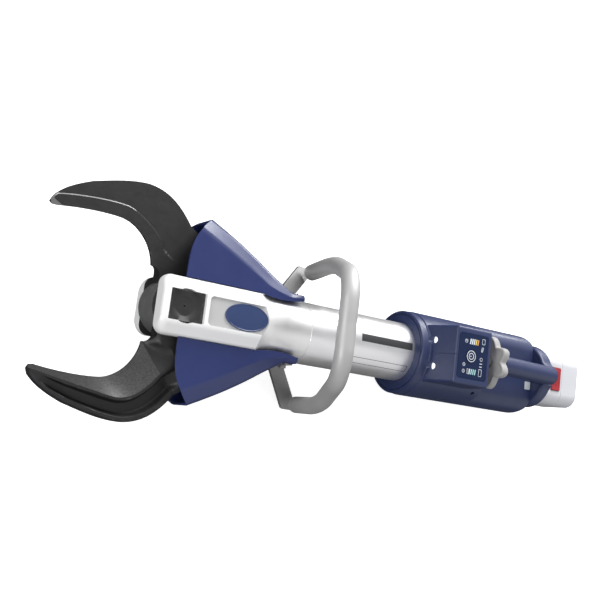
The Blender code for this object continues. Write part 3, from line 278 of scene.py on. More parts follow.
def show(thing, slot, node=None, body="base", look=None, angle=40):
    """Give a finished mesh its material, its shading and its body, and hide the imported node it stands for.
    """
    if not thing.data.materials:
        thing.data.materials.append(MATERIALS[look or slot])
    thing.data.shade_smooth()
    thing.data.set_sharp_from_angle(angle=radians(angle))
    even = thing.modifiers.new("even shading", "WEIGHTED_NORMAL")
    even.keep_sharp = True
    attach(thing, body)
    if node:
        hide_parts(node)
    return thing


def loft(loops, ring=False, bm=None):
    """Join closed loops into a tube, with its ends filled or, as a ring, joined to each other."""
    bm = bm or bmesh.new()
    rows = [[bm.verts.new(point) for point in loop] for loop in loops]
    count = len(rows[0])
    pairs = list(zip(rows, rows[1:]))
    if ring:
        pairs.append((rows[-1], rows[0]))
    for first, second in pairs:
        for i in range(count):
            j = (i + 1) % count
            bm.faces.new((first[i], first[j], second[j], second[i]))
    if not ring:
        bm.faces.new(rows[0])
        bm.faces.new(rows[-1])
    return bm


def level_loop(outline, z):
    return [(x, y, z) for x, y in outline]


def cross_loop(outline, x):
    return [(x, y, z) for y, z in outline]


def prism(outline, low, high, bm=None):
    return loft([level_loop(outline, low), level_loop(outline, high)], bm=bm)


def box(x_range, y_range, z_range):
    corners = [(x_range[0], y_range[0]), (x_range[1], y_range[0])]
    corners += [(x_range[1], y_range[1]), (x_range[0], y_range[1])]
    return prism(corners, z_range[0], z_range[1])


def rod(low, high, radius):
    """The profile of a plain round bar or hole, for turning."""
    return [(low, radius), (high, radius)]


def along_x(outline, start, end):
    """A solid of one (y, z) outline between two places along the tool."""
    return loft([cross_loop(outline, x) for x in (start, end)])


def fill_box(name, node, corner, steps=4, bottom=None):
    """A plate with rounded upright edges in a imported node's box, from its floor or from a given height."""
    low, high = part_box(node)
    plan = rounded_rectangle(low.x, high.x, low.y, high.y, corner, steps)
    return raw(name, prism(plan, (low.z - AXIS) if bottom is None else bottom, high.z - AXIS))


def around(count):
    """Evenly spaced angles over a full turn."""
    return [2 * pi * i / count for i in range(count)]


def quarter(steps):
    """A rounded end: how far each place is from the end and how far drawn in, as shares of the radii."""
    angles = [radians(90 * k / steps) for k in range(steps + 1)]
    return [(1 - sin(angle), 1 - cos(angle)) for angle in angles]


def arc(centre, radius, start, end, steps):
    angles = [radians(start + (end - start) * i / steps) for i in range(steps + 1)]
    return [(centre[0] + radius * cos(angle), centre[1] + radius * sin(angle)) for angle in angles]


def rounded_rectangle(x_low, x_high, y_low, y_high, radius, steps=8):
    points = arc((x_high - radius, y_high - radius), radius, 0, 90, steps)
    points += arc((x_low + radius, y_high - radius), radius, 90, 180, steps)
    points += arc((x_low + radius, y_low + radius), radius, 180, 270, steps)
    points += arc((x_high - radius, y_low + radius), radius, 270, 360, steps)
    return points


def oval(centre, half_x, half_y, count=64):
    return [(centre[0] + half_x * cos(angle), centre[1] + half_y * sin(angle)) for angle in around(count)]


def turned(profile, segments=FINE, centre=(0.0, 0.0), ring=False):
    """Turn (x, radius) points about an axis along X; a ring's profile is a closed loop off the axis."""
    if not ring:
        return loft([cross_loop(oval(centre, r, r, segments), x) for x, r in profile])
    loops = []
    for angle in around(segments):
        c, s = cos(angle), sin(angle)
        loops.append([(x, centre[0] + r * c, centre[1] + r * s) for x, r in profile])
    return loft(loops, ring=True)


def transformed(bm, matrix):
    bmesh.ops.transform(bm, matrix=matrix, verts=bm.verts)
    return bm


def spin(angle, axis):
    return Matrix.Rotation(radians(angle), 4, axis)


def upright(profile, centre=(0.0, 0.0), segments=64, ring=False):
    """Turn (z, radius) points about an upright axis."""
    move = Matrix.Translation((centre[0], centre[1], 0.0)) @ spin(-90, "Y")
    return transformed(turned(profile, segments, (0.0, 0.0), ring), move)


def crosswise(profile, centre, side, segments=40):
    """Turn (distance out, radius) points about an axis along Y through (x, z)."""
    move = Matrix.Translation((centre[0], 0.0, centre[1])) @ spin(90 * side, "Z")
    return transformed(turned(profile, segments), move)


def flip_side(bm, side):
    if side < 0:
        bmesh.ops.scale(bm, vec=(1.0, -1.0, 1.0), verts=bm.verts)
    return bm


def smooth(t):
    t = min(1.0, max(0.0, t))
    return t * t * (3 - 2 * t)


def curve_points(points, steps):
    """A chain of Bezier spans with shared ends: every third point lies on the curve."""
    made = []
    for i in range(0, len(points) - 1, 3):
        made += interpolate_bezier(*[Vector(point) for point in points[i:i + 4]], steps + 1)[:-1]
    made.append(Vector(points[-1]))
    return [Vector(point[:2]) for point in made]


def even_points(points, count):
    """Re-space a polyline at equal distances."""
    lengths = [0.0]
    for a, b in zip(points, points[1:]):
        lengths.append(lengths[-1] + (b - a).length)
    spaced = []
    k = 0
    for i in range(count + 1):
        want = lengths[-1] * i / count
        while k < len(points) - 2 and lengths[k + 1] < want:
            k += 1
        part = (want - lengths[k]) / (lengths[k + 1] - lengths[k])
        spaced.append(points[k].lerp(points[k + 1], part))
    return spaced


# Blades ---------------------------------------------------------------------------------------------

BLADE_TOP = 0.0228
TIP_TOP = 0.013
EDGE = 0.004
HUB = 0.038
ARM_RADIUS = 0.062
ARM_ANGLE = radians(47)
CLOSING = radians(32)
LINK = 0.080
BUSH_HOLE = 0.0198
PIN_HOLE = 0.0080
ARM_END = 0.017
STATIONS = 76
ACROSS_BEVEL = 9
ACROSS_BACK = 26
STEP_WIDTH = 0.0016
STEP_DEPTH = 0.0017
SKIN = 0.00015
ARM_PIN = (-ARM_RADIUS * cos(ARM_ANGLE), ARM_RADIUS * sin(ARM_ANGLE))
BLADE_LOOKS = ("blade_black", "blade_step_highlight", "blade_groove_shade", "blade_bevel", "blade_rim_highlight")
PLAIN, STEP_HIGHLIGHT, GROOVE_SHADE, BEVEL, RIM_HIGHLIGHT = range(len(BLADE_LOOKS))


def blade_curves():
    """The cutting edge, the ridge and the outer edge, from the tip to the root."""
    inner = [(0.178, 0.099), (0.152, 0.1035), (0.115, 0.1065), (0.088, 0.1040),
             (0.065, 0.1020), (0.041, 0.080), (0.0373, 0.0505)]
    ridge = [(0.1805, 0.1055), (0.140, 0.1135), (0.100, 0.1225), (0.072, 0.1265),
             (0.047, 0.1290), (0.031, 0.112), (0.0135, 0.090)]
    outer = [(0.1812, 0.1060), (0.176, 0.1195), (0.158, 0.131), (0.130, 0.1420), (0.105, 0.1490),
             (0.080, 0.1570), (0.055, 0.1570), (0.030, 0.1550), (0.010, 0.1440), (-0.012, 0.115)]
    return [even_points(curve_points(points, 40), STATIONS) for points in (inner, ridge, outer)]


def ridge_height(u):
    return TIP_TOP + (BLADE_TOP - TIP_TOP) * min(1.0, u / 0.45)


def back_height(u, out, width):
    """Height behind the ridge: a narrow land, a long groove, then a rim that rolls off at the edge."""
    top = ridge_height(u)
    from_edge = width - out
    land = min(0.0035, width * 0.14)
    rim = min(0.0060, width * 0.25)
    t = (out - land) / max(width - land - rim, 0.0001)
    depth = 0.0
    if 0.0 < t < 1.0:
        fall = smooth(t / 0.16) * smooth((1.0 - t) / 0.30)
        depth = 0.0095 * smooth((u - 0.08) / 0.20) * fall
    drop = 0.0040 * smooth(t) * smooth(u / 0.2)
    tip_fall = 0.004 * (1.0 - smooth(u / 0.14)) * smooth(out / max(width, 0.0001))
    roll = 0.0030 * max(0.0, 1.0 - from_edge / 0.0032) ** 2
    return top - depth - drop - tip_fall - roll


def shaped_row(u, a, b, c):
    """One section of the shaped side: up the bevel to the ridge, then over the grooved back."""
    row = []
    for k in range(ACROSS_BEVEL + 1):
        t = k / ACROSS_BEVEL
        p = a.lerp(b, t)
        row.append((p.x, p.y, EDGE + (ridge_height(u) - EDGE) * t))
    width = (c - b).length
    for k in range(1, ACROSS_BACK + 1):
        p = b.lerp(c, k / ACROSS_BACK)
        row.append((p.x, p.y, back_height(u, width * k / ACROSS_BACK, width)))
    return row


def flat_row(u, a, b, c):
    """One section of the flat side: a ground land along the edge, then a crisp shallow step."""
    bevel = (b - a).length
    width = bevel + (c - b).length
    land = 0.0140 + 0.0050 * u + 0.0080 * smooth((u - 0.7) / 0.3)
    start = min(land, 0.86 * width)
    step = min(STEP_WIDTH, 0.07 * width)
    depth = STEP_DEPTH * smooth((width - land) / 0.005)
    reaches = [start * k / 6 for k in range(7)] + [start + step * k / 4 for k in range(1, 5)]
    reaches += [start + step + (width - start - step) * k / 10 for k in range(1, 11)]
    row = []
    for reach in reaches:
        p = a.lerp(b, reach / bevel)
        if reach >= bevel:
            p = b.lerp(c, (reach - bevel) / max(width - bevel, 0.00001))
        row.append((p.x, p.y, SKIN + depth * smooth((reach - start) / step)))
    return row


def hub_outline():
    """From the outer edge back round the arm and the hub to the notch at the inner edge."""
    end = (ARM_PIN[0] - ARM_END, ARM_PIN[1])
    points = [(p.x, p.y) for p in curve_points([(-0.012, 0.115), (-0.030, 0.101), (-0.058, 0.088), end], 24)]
    points += arc(ARM_PIN, ARM_END, 180, 203, 6)[1:]
    points += arc((0.0, 0.0), HUB, 203, 410, 90)
    points += arc((0.0365, 0.0375), 0.0130, 165, 92, 12)
    return points


def root_line(row):
    start = Vector(row[0][:2])
    return start, (Vector(row[-1][:2]) - start).normalized()


def beside_root(row, x, y):
    """Distance along the blade's last row, distance from it, and the row's own height there."""
    start, along = root_line(row)
    away = Vector((x, y)) - start
    s = away.dot(along)
    reaches = [(Vector(p[:2]) - start).dot(along) for p in row]
    k = min(len(row) - 2, max(0, sum(1 for reach in reaches[1:-1] if reach < s)))
    t = min(1.0, max(0.0, (s - reaches[k]) / max(reaches[k + 1] - reaches[k], 0.00001)))
    return s, abs(along.x * away.y - along.y * away.x), row[k][2] + (row[k + 1][2] - row[k][2]) * t


# (distance along the blade's root from the cutting edge, how far the valley reaches into the hub)
VALLEY = ((0.0, 0.0065), (0.0264, 0.0245), (0.0400, 0.0240),
          (0.0450, 0.0195), (0.0476, 0.0105), (0.0489, 0.0))


def valley_reach(s):
    for (s0, d0), (s1, d1) in zip(VALLEY, VALLEY[1:]):
        if s <= s1:
            return d0 + (d1 - d0) * max(0.0, s - s0) / (s1 - s0)
    return 0.0


def shaped_hub(row, x, y):
    """Flat hub, the scooped valley at the blade's root, and a slope down to the notch corner."""
    s, depth, high = beside_root(row, x, y)
    reach = valley_reach(s)
    if s < VALLEY[-1][0]:
        t = min(1.0, depth / max(reach, 0.0001))
        level = high + (BLADE_TOP - high) * t ** 2.2
    else:
        level = BLADE_TOP + (high - BLADE_TOP) * (1.0 - smooth(depth / 0.024))
    corner = (Vector((x, y)) - Vector(row[0][:2])).length
    slope = EDGE + (BLADE_TOP - EDGE) * smooth(corner / 0.021)
    return min(level, slope)


def flat_hub(row, x, y):
    depth, high = beside_root(row, x, y)[1:]
    return SKIN + (high - SKIN) * (1.0 - smooth(depth / 0.026))


def valley_line(row):
    """The rounded end of the valley, where its crease needs points of its own."""
    start, along = root_line(row)
    inward = Vector((-along.y, along.x))
    if inward.dot(start) > 0:
        inward.negate()
    points = []
    for k in range(27):
        s = 0.0205 + 0.0282 * k / 26
        points.append(start + along * s + inward * valley_reach(s))
    return points


def hub_sheet(bm, row, made_row, height, crease):
    """Fill one side of the hub; returns its vertices along the outline, from the outer edge round."""
    edge = [Vector(point) for point in hub_outline()[1:-1]]
    outline = [Vector(point[:2]) for point in row] + edge
    step = 0.0022
    low_x = min(p.x for p in outline)
    low_y = min(p.y for p in outline)
    inside = []
    for i in range(100):
        for j in range(100):
            p = Vector((low_x + (i + 0.5 * (j % 2)) * step, low_y + j * step * 0.87))
            if inside_outline(p, outline) and clear_of(p, outline + crease, step * 0.55):
                inside.append(p)
    count = len(outline)
    edges = [(i, (i + 1) % count) for i in range(count)]
    edges += [(count + i, count + i + 1) for i in range(len(crease) - 1)]
    points, _, faces = delaunay_2d_cdt(outline + crease + inside, edges, [], 1, 0.000001)[:3]
    made = [bm.verts.new((p.x, p.y, height(row, p.x, p.y))) for p in points]
    for point, old in zip(row, made_row):
        k = nearest(points, Vector(point[:2]))
        bm.verts.remove(made[k])
        made[k] = old
    for face in faces:
        bm.faces.new([made[i] for i in face])
    rim = [made[nearest(points, p)] for p in edge]
    return [made_row[-1]] + rim + [made_row[0]]


def blade_look(shaped, u, k):
    """Which of the blade's looks a strip gets, by its place along the blade and across it."""
    if not shaped:
        # Strips 6 to 9 on the flat side hold the step and get its painted highlight.
        return STEP_HIGHLIGHT if 6 <= k <= 9 and u < 0.62 else PLAIN
    if k < ACROSS_BEVEL:
        return BEVEL
    across = (k - ACROSS_BEVEL + 0.5) / ACROSS_BACK
    # Strips in the groove get its painted shade.
    return GROOVE_SHADE if u > 0.10 and 0.17 < across < 0.76 else PLAIN


def blade_mesh():
    curves = blade_curves()
    bm = bmesh.new()
    sheets = []
    for shape, hub in ((shaped_row, shaped_hub), (flat_row, flat_hub)):
        rows = [shape(i / STATIONS, *[curve[i] for curve in curves]) for i in range(STATIONS + 1)]
        made = [[bm.verts.new(point) for point in row] for row in rows]
        for i, (first, second) in enumerate(zip(made, made[1:])):
            for k in range(len(first) - 1):
                face = bm.faces.new((first[k], first[k + 1], second[k + 1], second[k]))
                face.material_index = blade_look(shape is shaped_row, i / STATIONS, k)
        crease = valley_line(rows[-1]) if hub is shaped_hub else []
        rim = hub_sheet(bm, rows[-1], made[-1], hub, crease)
        sheets.append((made, rim))
    (top, top_rim), (low, low_rim) = sheets
    inner_walls = [(row[0] for row in made) for made in (top, low)]
    outer_walls = [(row[-1] for row in made) for made in (top, low)]
    for pair in (inner_walls, outer_walls, (top_rim, low_rim)):
        first, second = [list(side) for side in pair]
        for i in range(len(first) - 1):
            face = bm.faces.new((first[i], first[i + 1], second[i + 1], second[i]))
            # Walls near the hub get the lighter rim look, a painted highlight on the hub's side.
            face.material_index = RIM_HIGHLIGHT if face.calc_center_median().xy.length < HUB + 0.0005 else PLAIN
    bm.faces.new(top[0] + low[0][::-1])
    bmesh.ops.remove_doubles(bm, verts=bm.verts, dist=0.000004)
    return bm


def nearest(points, want):
    return min(range(len(points)), key=lambda i: (points[i] - want).length_squared)


def inside_outline(p, outline):
    hit = False
    for a, b in zip(outline, outline[1:] + outline[:1]):
        if (a.y > p.y) != (b.y > p.y) and p.x < a.x + (b.x - a.x) * (p.y - a.y) / (b.y - a.y):
            hit = not hit
    return hit


def clear_of(p, outline, reach):
    return all((p - q).length > reach for q in outline)


def shave(thing, turn, point, away):
    """Plane off what lies beyond a point in the given direction, and give the cut the lighter rim look, a
    painted highlight.
    """
    face = Vector(away).to_track_quat("X", "Z").to_matrix().to_4x4()
    block = box((0.0, 0.05), (-0.05, 0.05), (-0.05, 0.05))
    carve(thing, transformed(block, turn @ Matrix.Translation(point) @ face))
    facing = (turn.to_3x3() @ Vector(away)).normalized()
    for side in thing.data.polygons:
        if side.normal.dot(facing) > 0.999 and side.center.x > 0.16:
            side.material_index = RIM_HIGHLIGHT


def link_sweep():
    """The ground that a link covers round the blade's arm pin, from open to closed."""
    open_lean = 180 + degrees(asin(ARM_PIN[1] / LINK))
    closed_rise = ARM_RADIUS * sin(ARM_ANGLE + CLOSING)
    closed_lean = 180 + degrees(asin(closed_rise / LINK) + CLOSING)
    points = arc(ARM_PIN, 0.0165, closed_lean - 270, open_lean - 90, 24)
    return points + arc(ARM_PIN, 0.9 * LINK, open_lean - 9, closed_lean + 9, 8)


def make_blades():
    for name, side in SIDES.items():
        turn = spin(0 if side > 0 else 180, "X")
        blade = raw("blade_forging_" + name, transformed(blade_mesh(), turn))
        for look in BLADE_LOOKS:
            blade.data.materials.append(MATERIALS[look])
        carve(blade, transformed(upright(rod(-0.01, 0.04, BUSH_HOLE)), turn))
        carve(blade, transformed(upright(rod(-0.01, 0.04, PIN_HOLE), ARM_PIN, 40), turn))
        for low, high in ((-0.01, 0.0063), (0.0163, 0.04)):
            carve(blade, transformed(prism(link_sweep(), low, high), turn))
        shave(blade, turn, (0.1772, 0.110, 0.0), (0.80, 0.05, -0.60))
        shave(blade, turn, (0.1725, 0.1046, 0.0), (0.34, -0.62, -0.70))
        soften(blade, 0.0006, 2, 30)
        show(blade, "blade_black", "blade_" + name, "blade_%s_body" % name, angle=38)


# Fork, badge and pivot ------------------------------------------------------------------------------

FORK_LOW, FORK_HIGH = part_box("yoke_body")
FORK_FRONT = FORK_HIGH.x
FORK_HALF = 0.0395
FORK_TOP = FORK_HIGH.z - AXIS
NECK_BACK = FORK_LOW.x
TUBE_RADIUS = (TUBE_HIGH.z - TUBE_LOW.z) / 2
SLOT_HALF = 0.0232
POCKET_FLOOR = 0.0335
RECESS_FLOOR = 0.0455
NOSE = 0.0085
BOLT_BORE = 0.0163
GUARD_SCREW = (-0.1745, 0.020)
SCREW_HOLE = 0.0028
BAIL_BOLTS = {"front": (-0.1660, 0.0010), "rear": (-0.1840, -0.0065)}
BOLT_HOLE = 0.0033


def rounded_corner(before, corner, after):
    return curve_points([before, before.lerp(corner, 0.6), after.lerp(corner, 0.6), after], 8)


def fork_profile():
    """Half the fork's section as (half width, height), from mid height to the flat top, edges rounded."""
    side = Vector((FORK_HALF, 0.034))
    rim = Vector((0.023, FORK_TOP))
    slope = (rim - side).normalized()
    low = Vector((FORK_HALF, 0.0285))
    start = side + slope * 0.0050
    end = rim - slope * 0.0045
    top = Vector((rim.x - 0.0040, FORK_TOP))
    points = [Vector((FORK_HALF, z)) for z in (0.0, 0.0120, 0.0240)]
    points += rounded_corner(low, side, start)
    points += [start.lerp(end, k / 6) for k in range(1, 6)]
    return points + rounded_corner(end, rim, top)


def fork_loop(half, high):
    """One level of the fork: a rounded rectangle, drawn back at the front near the top and the bottom."""
    rise = max(0.0, abs(high) - (FORK_TOP - NOSE)) / NOSE
    front = FORK_FRONT - NOSE * (1.0 - sqrt(max(0.0, 1.0 - rise ** 2)))
    corner = max(0.006, 0.014 - 0.35 * (FORK_HALF - half))
    return [(x, y, high) for x, y in rounded_rectangle(-0.150, front, -half, half, corner, 14)]


def fork_block():
    upper = fork_profile()
    levels = [(p.x, -p.y) for p in upper[:0:-1]] + [(p.x, p.y) for p in upper]
    return loft([fork_loop(half, high) for half, high in levels])


def shade_fork(body):
    """The slot's flat faces get a painted shade, dark like the shadow inside the slot; the recess floor gets
    its own grey.
    """
    for look in ("yoke_satin", "slot_shade", "recess_grey"):
        body.data.materials.append(MATERIALS[look])
    for face in body.data.polygons:
        high = face.center.z - AXIS
        if abs(face.normal.z) > 0.95 and abs(abs(high) - SLOT_HALF) < 2 * GAP:
            face.material_index = 1
        elif face.normal.z > 0.95 and abs(high - RECESS_FLOOR) < GAP:
            face.material_index = 2


def make_fork():
    body = raw("fork_body", fork_block())
    flare = [(0.05, 0.075), (-0.100, 0.075)]
    flare += curve_points([(-0.104, 0.060), (-0.118, 0.048), (-0.122, 0.0445), (-0.135, 0.0435)], 21)
    carve(body, turned(flare), "INTERSECT")
    neck = [(-0.126, 0.0430), (-0.145, 0.0435), (-0.158, 0.0437), (-0.172, 0.0442)]
    rise = TUBE_RADIUS - 0.0001 - neck[-1][1]
    neck += [(NECK_BACK + 0.012 * (1 - k / 8), 0.0442 + rise * smooth(k / 8)) for k in range(9)]
    carve(body, turned(neck), "UNION")
    carve(body, box((-0.095, BEYOND), (-BEYOND, BEYOND), (-SLOT_HALF, SLOT_HALF)))
    carve(body, box((-0.136, -0.090), (-0.027, 0.027), (-SLOT_HALF + GAP, SLOT_HALF - GAP)))
    bore = [(-0.130, 0.0160), (-0.1480, 0.0160), (-0.1481, 0.026), (NECK_BACK - 0.01, 0.026)]
    carve(body, turned(bore, 64))
    carve(body, upright(rod(-BEYOND, BEYOND, BOLT_BORE)))
    pocket = rounded_rectangle(-0.0265, 0.0245, -0.0203, 0.0203, 0.0012, 3)
    for low, high in ((POCKET_FLOOR, BEYOND), (-BEYOND, -POCKET_FLOOR)):
        carve(body, prism(pocket, low, high))
    carve(body, upright(rod(POCKET_FLOOR + 0.001, BEYOND, 0.0228)))
    recess = rounded_rectangle(-0.16, -0.032, -0.0194, 0.0194, 0.0055)
    carve(body, prism(recess, RECESS_FLOOR, BEYOND))
    holes = [(GUARD_SCREW, SCREW_HOLE)] + [(spot, BOLT_HOLE) for spot in BAIL_BOLTS.values()]
    for side in SIDES.values():
        for spot, radius in holes:
            carve(body, crosswise(rod(0.033, BEYOND, radius), spot, side, 24))
    tidy(body)
    soften(body, 0.0011, 3, 24)
    shade_fork(body)
    show(body, "yoke_satin", "yoke_body")


def make_badge():
    low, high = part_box("badge_plate")
    centre = ((low.x + high.x) / 2, 0.0)
    half_x, half_y = (high.x - low.x) / 2, high.y
    floor = low.z - AXIS
    rim = [(0.0, 0.0), (0.0011, 0.0), (0.0016, 0.0004), (0.0017, 0.0011), (0.0013, 0.0017), (0.0011, 0.0020)]
    crown = [(0.0013, 0.0060), (0.0014, 0.0120), (0.00145, 0.0170)]
    loops = [level_loop(oval(centre, half_x - inset, half_y - inset, 80), floor + rise)
             for rise, inset in rim + crown]
    show(raw("badge_oval", loft(loops)), "badge_blue", "badge_plate", angle=50)


def make_pivot():
    low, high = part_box("pivot_bolt")
    top = high.z - AXIS
    head_low = POCKET_FLOOR + GAP
    bolt = fill_box("pivot_bolt_head", "pivot_bolt", 0.0015, bottom=head_low)
    carve(bolt, upright(rod(low.z - AXIS, head_low + 0.002, 0.0160)), "UNION")
    dish = [(top - 0.0034, 0.0006), (top - 0.0033, 0.0118), (top - 0.0029, 0.0136), (top + 0.0008, 0.0240)]
    carve(bolt, upright(dish, segments=96))
    carve(bolt, upright([(top - 0.0060, 0.0003), (top - 0.0030, 0.0016)], segments=24))
    tidy(bolt, 0.5)
    nut = fill_box("pivot_nut_square", "pivot_nut", 0.0015)
    carve(nut, upright(rod(-0.0383, 0.0, BOLT_BORE)))
    mouth, end = -AXIS - 0.001, -AXIS + 0.0008
    groove = [(mouth, 0.0150), (mouth, 0.0156), (end, 0.0156), (end, 0.0150)]
    carve(nut, upright(groove, ring=True))
    for piece, node in ((bolt, "pivot_bolt"), (nut, "pivot_nut")):
        soften(piece, 0.0005, 2, 40)
        show(piece, "bolt_dark", node)


# Guards ---------------------------------------------------------------------------------------------

def guard_section(along, depth):
    """A guard's section, from its front (0) to its tail's end (1), drawn in by a depth."""
    share = min(1.0, along / 0.88)
    outer = 0.1255 + (0.0485 - 0.1255) * share + 0.0045 * sin(pi * share) - depth
    x = -0.184 * along
    dip = max(0.0, 1.0 - abs((x + 0.148) / 0.034) ** 2)
    inner = 0.0398 - 0.004 * dip
    high = 0.034 - depth
    span = outer - inner
    radius = min(0.0085, span * 0.30)
    flat = span - min(0.0175, span * 0.55)
    section = [(inner + flat * k / 12, high) for k in range(13)]
    lean = radians(28)
    edge = outer - radius + radius * sin(lean)
    fall = (edge - inner - flat) * tan(lean)
    section += [(inner + flat + (edge - inner - flat) * k / 4, high - fall * k / 4) for k in range(1, 4)]
    middle = (outer - radius, high - fall - radius * cos(lean))
    section += arc(middle, radius, 90 - degrees(lean), 0, 9)
    section += [(y, -z) for y, z in section[::-1]]
    points = []
    for y, z in section:
        out = (y - inner) / max(span, 0.0001)
        points.append((x - 0.031 * max(0.0, out) ** 3.6 * (1.0 - along), y, z))
    return points


def make_guards():
    for name, side in SIDES.items():
        loops = []
        for i in range(49):
            along = i / 48
            loops.append(guard_section(along, 0.0) + guard_section(along, 0.003)[::-1])
        shell = raw("guard_shell_" + name, flip_side(loft(loops), side))
        carve(shell, box((-0.30, -0.150), (-0.2, 0.2), (-0.06, 0.0075)))
        carve(shell, crosswise(rod(0.040, BEYOND, SCREW_HOLE), GUARD_SCREW, side, 24))
        soften(shell, 0.0009, 3, 50)
        show(shell, "guard_navy", "guard_" + name, angle=45)
        head = [(0.0368, 0.0025), (0.0489, 0.0025), (0.0489, 0.0052), (0.0497, 0.0054), (0.0505, 0.0050)]
        head += [(0.0513, 0.0038), (0.0516, 0.0022), (0.0504, 0.0019), (0.0500, 0.0002)]
        screw = raw("guard_button_screw_" + name, crosswise(head, GUARD_SCREW, side))
        show(screw, "screw_zinc", "guard_screw_" + name)


# Front handle ---------------------------------------------------------------------------------------

BAIL_RADIUS = 0.0125


def smooth_path(corners, radius, steps):
    """A path through corners, with rounded bends and evenly spaced points on the straights."""
    path = [corners[0]]
    for before, corner, after in zip(corners, corners[1:], corners[2:]):
        start = corner + (before - corner).normalized() * radius
        end = corner + (after - corner).normalized() * radius
        gap = (start - path[-1]).length
        last = path[-1]
        for k in range(1, int(gap / 0.006)):
            path.append(last.lerp(start, k * 0.006 / gap))
        path += interpolate_bezier(start, start.lerp(corner, 0.55), end.lerp(corner, 0.55), end, steps)
    path.append(corners[-1])
    return path


def sweep(path, radii, segments=48):
    """A round bar along a path, with a radius of its own at each point."""
    loops = []
    across = None
    for i, point in enumerate(path):
        ahead = (path[min(i + 1, len(path) - 1)] - path[max(i - 1, 0)]).normalized()
        if across is None:
            across = ahead.orthogonal().normalized()
        across = (across - ahead * across.dot(ahead)).normalized()
        other = ahead.cross(across)
        outs = [across * cos(angle) + other * sin(angle) for angle in around(segments)]
        loops.append([point + out * radii[i] for out in outs])
    return loft(loops)


def socket_bolt(tail, spot, side):
    """A round-headed bolt with a hexagon socket."""
    head = [(0.0355, 0.003), (0.0493, 0.003), (0.0493, 0.0056), (0.0496, 0.0058)]
    head += [(0.0530, 0.0058), (0.0537, 0.0052)]
    bolt = raw("bail_bolt_" + tail, crosswise(head, spot, side, 48))
    carve(bolt, crosswise(rod(0.0512, BEYOND, 0.0030), spot, side, 6))
    show(bolt, "screw_zinc", "bracket_bolt_" + tail, angle=30)


def make_front_handle():
    for name, side in SIDES.items():
        pad = box((-0.193, -0.157), (0.0450, 0.0490), (-0.0240, 0.0070))
        bracket = raw("bail_bracket_" + name, flip_side(pad, side))
        corners = [Vector((-0.158, 0.0475, -0.004)), Vector((-0.2250, 0.109, -0.0600))]
        corners += [Vector((-0.2600, 0.109, -0.0720)), Vector((-0.1920, 0.0475, -0.018))]
        up = (corners[1] - corners[0]).cross(corners[3] - corners[0]).normalized()
        up = up if up.z > 0 else -up
        strap = loft([corners, [corner - up * 0.005 for corner in corners]])
        carve(bracket, flip_side(strap, side), "UNION")
        for spot in BAIL_BOLTS.values():
            carve(bracket, crosswise(rod(0.040, BEYOND, BOLT_HOLE), spot, side, 24))
        tidy(bracket, 0.5)
        soften(bracket, 0.0009, 3, 25)
        show(bracket, "bracket_alloy", "handle_bracket_" + name)
        for end, spot in BAIL_BOLTS.items():
            socket_bolt(name + "_" + end, spot, side)
    half = ((-0.242, 0.1005, -0.049), (-0.223, 0.1020, 0.041), (-0.177, 0.0660, 0.154))
    right, left = [[Vector((x, side * y, z)) for x, y, z in half] for side in (-1, 1)]
    path = smooth_path(right + left[::-1], 0.034, 22)
    radii = [BAIL_RADIUS] * len(path)
    for k, share in enumerate((0.90, 0.985)):
        radii[k] = radii[-1 - k] = BAIL_RADIUS * share
    step = 0.0012
    first, last = path[0].copy(), path[-1].copy()
    path[1] = first + (path[2] - first).normalized() * step
    path[-2] = last + (path[-3] - last).normalized() * step
    bar = raw("bail_bar", sweep(path, radii))
    show(bar, "cast_alloy", "front_handle", angle=45)


# Cylinder tube and front ring -----------------------------------------------------------------------

def wrap_slab(bm, x_low, x_high, start, end):
    """A thin slab lying on the tube between two angles from the top, in degrees."""
    low, high = TUBE_RADIUS + 0.00004, TUBE_RADIUS + 0.00020
    loops = []
    steps = 16
    for k in range(steps + 1):
        angle = radians(start + (end - start) * k / steps)
        corners = ((x_low, low), (x_high, low), (x_high, high), (x_low, high))
        loops.append([(x, radius * sin(angle), radius * cos(angle)) for x, radius in corners])
    loft(loops, bm=bm)


def make_tube_labels():
    """A plain bar and an empty outlined strip, whose lines are 0.7 mm wide."""
    long, line, turn = (-0.375, -0.274), 0.0007, 0.8
    sides = [(*long, 32.0, 32.0 + turn), (*long, 46.0 - turn, 46.0)]
    ends = [(x, x + line, 32.0 + turn, 46.0 - turn) for x in (long[0], long[1] - line)]
    labels = {"tube_band_plain": [(-0.376, -0.282, -14.0, 0.0)], "tube_strip_outline": sides + ends}
    for name, slabs in labels.items():
        bm = bmesh.new()
        for slab in slabs:
            wrap_slab(bm, *slab)
        show(raw(name, bm), "contact_black", look="label_dark", angle=30)


def make_tube():
    front, back = TUBE_HIGH.x, TUBE_LOW.x
    neck_bore, bore, step = 0.0260, 0.034, -0.2103
    wall = [(front, TUBE_RADIUS - 0.0002), (front, neck_bore), (step, neck_bore), (step, bore), (back, bore)]
    wall += [(back, TUBE_RADIUS), (front - 0.0002, TUBE_RADIUS)]
    sleeve = raw("cylinder_sleeve", turned(wall, 128, ring=True))
    show(sleeve, "tube_satin", "cylinder_tube", angle=35)


GROOVE_RADIUS = 0.0586


def make_ring():
    low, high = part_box("front_ring")
    front, back = high.x, low.x
    outer = (high.z - low.z) / 2
    bore = TUBE_RADIUS + GAP
    groove = [(0.0, -0.0009), (0.0004, -0.0005), (0.0014, -0.0004)]
    groove += [(depth, -across) for depth, across in groove[::-1]]
    wall = [(back, bore), (front - 0.0006, bore), (front, bore + 0.0006)]
    wall += [(front - depth, GROOVE_RADIUS + across) for depth, across in groove] + [(front, outer - 0.0026)]
    wall += arc((front - 0.0024, outer - 0.0024), 0.0024, 0, 90, 4) + [(back, outer)]
    show(raw("housing_ring", turned(wall, 128, ring=True)), "housing_navy", "front_ring")


# Housing --------------------------------------------------------------------------------------------

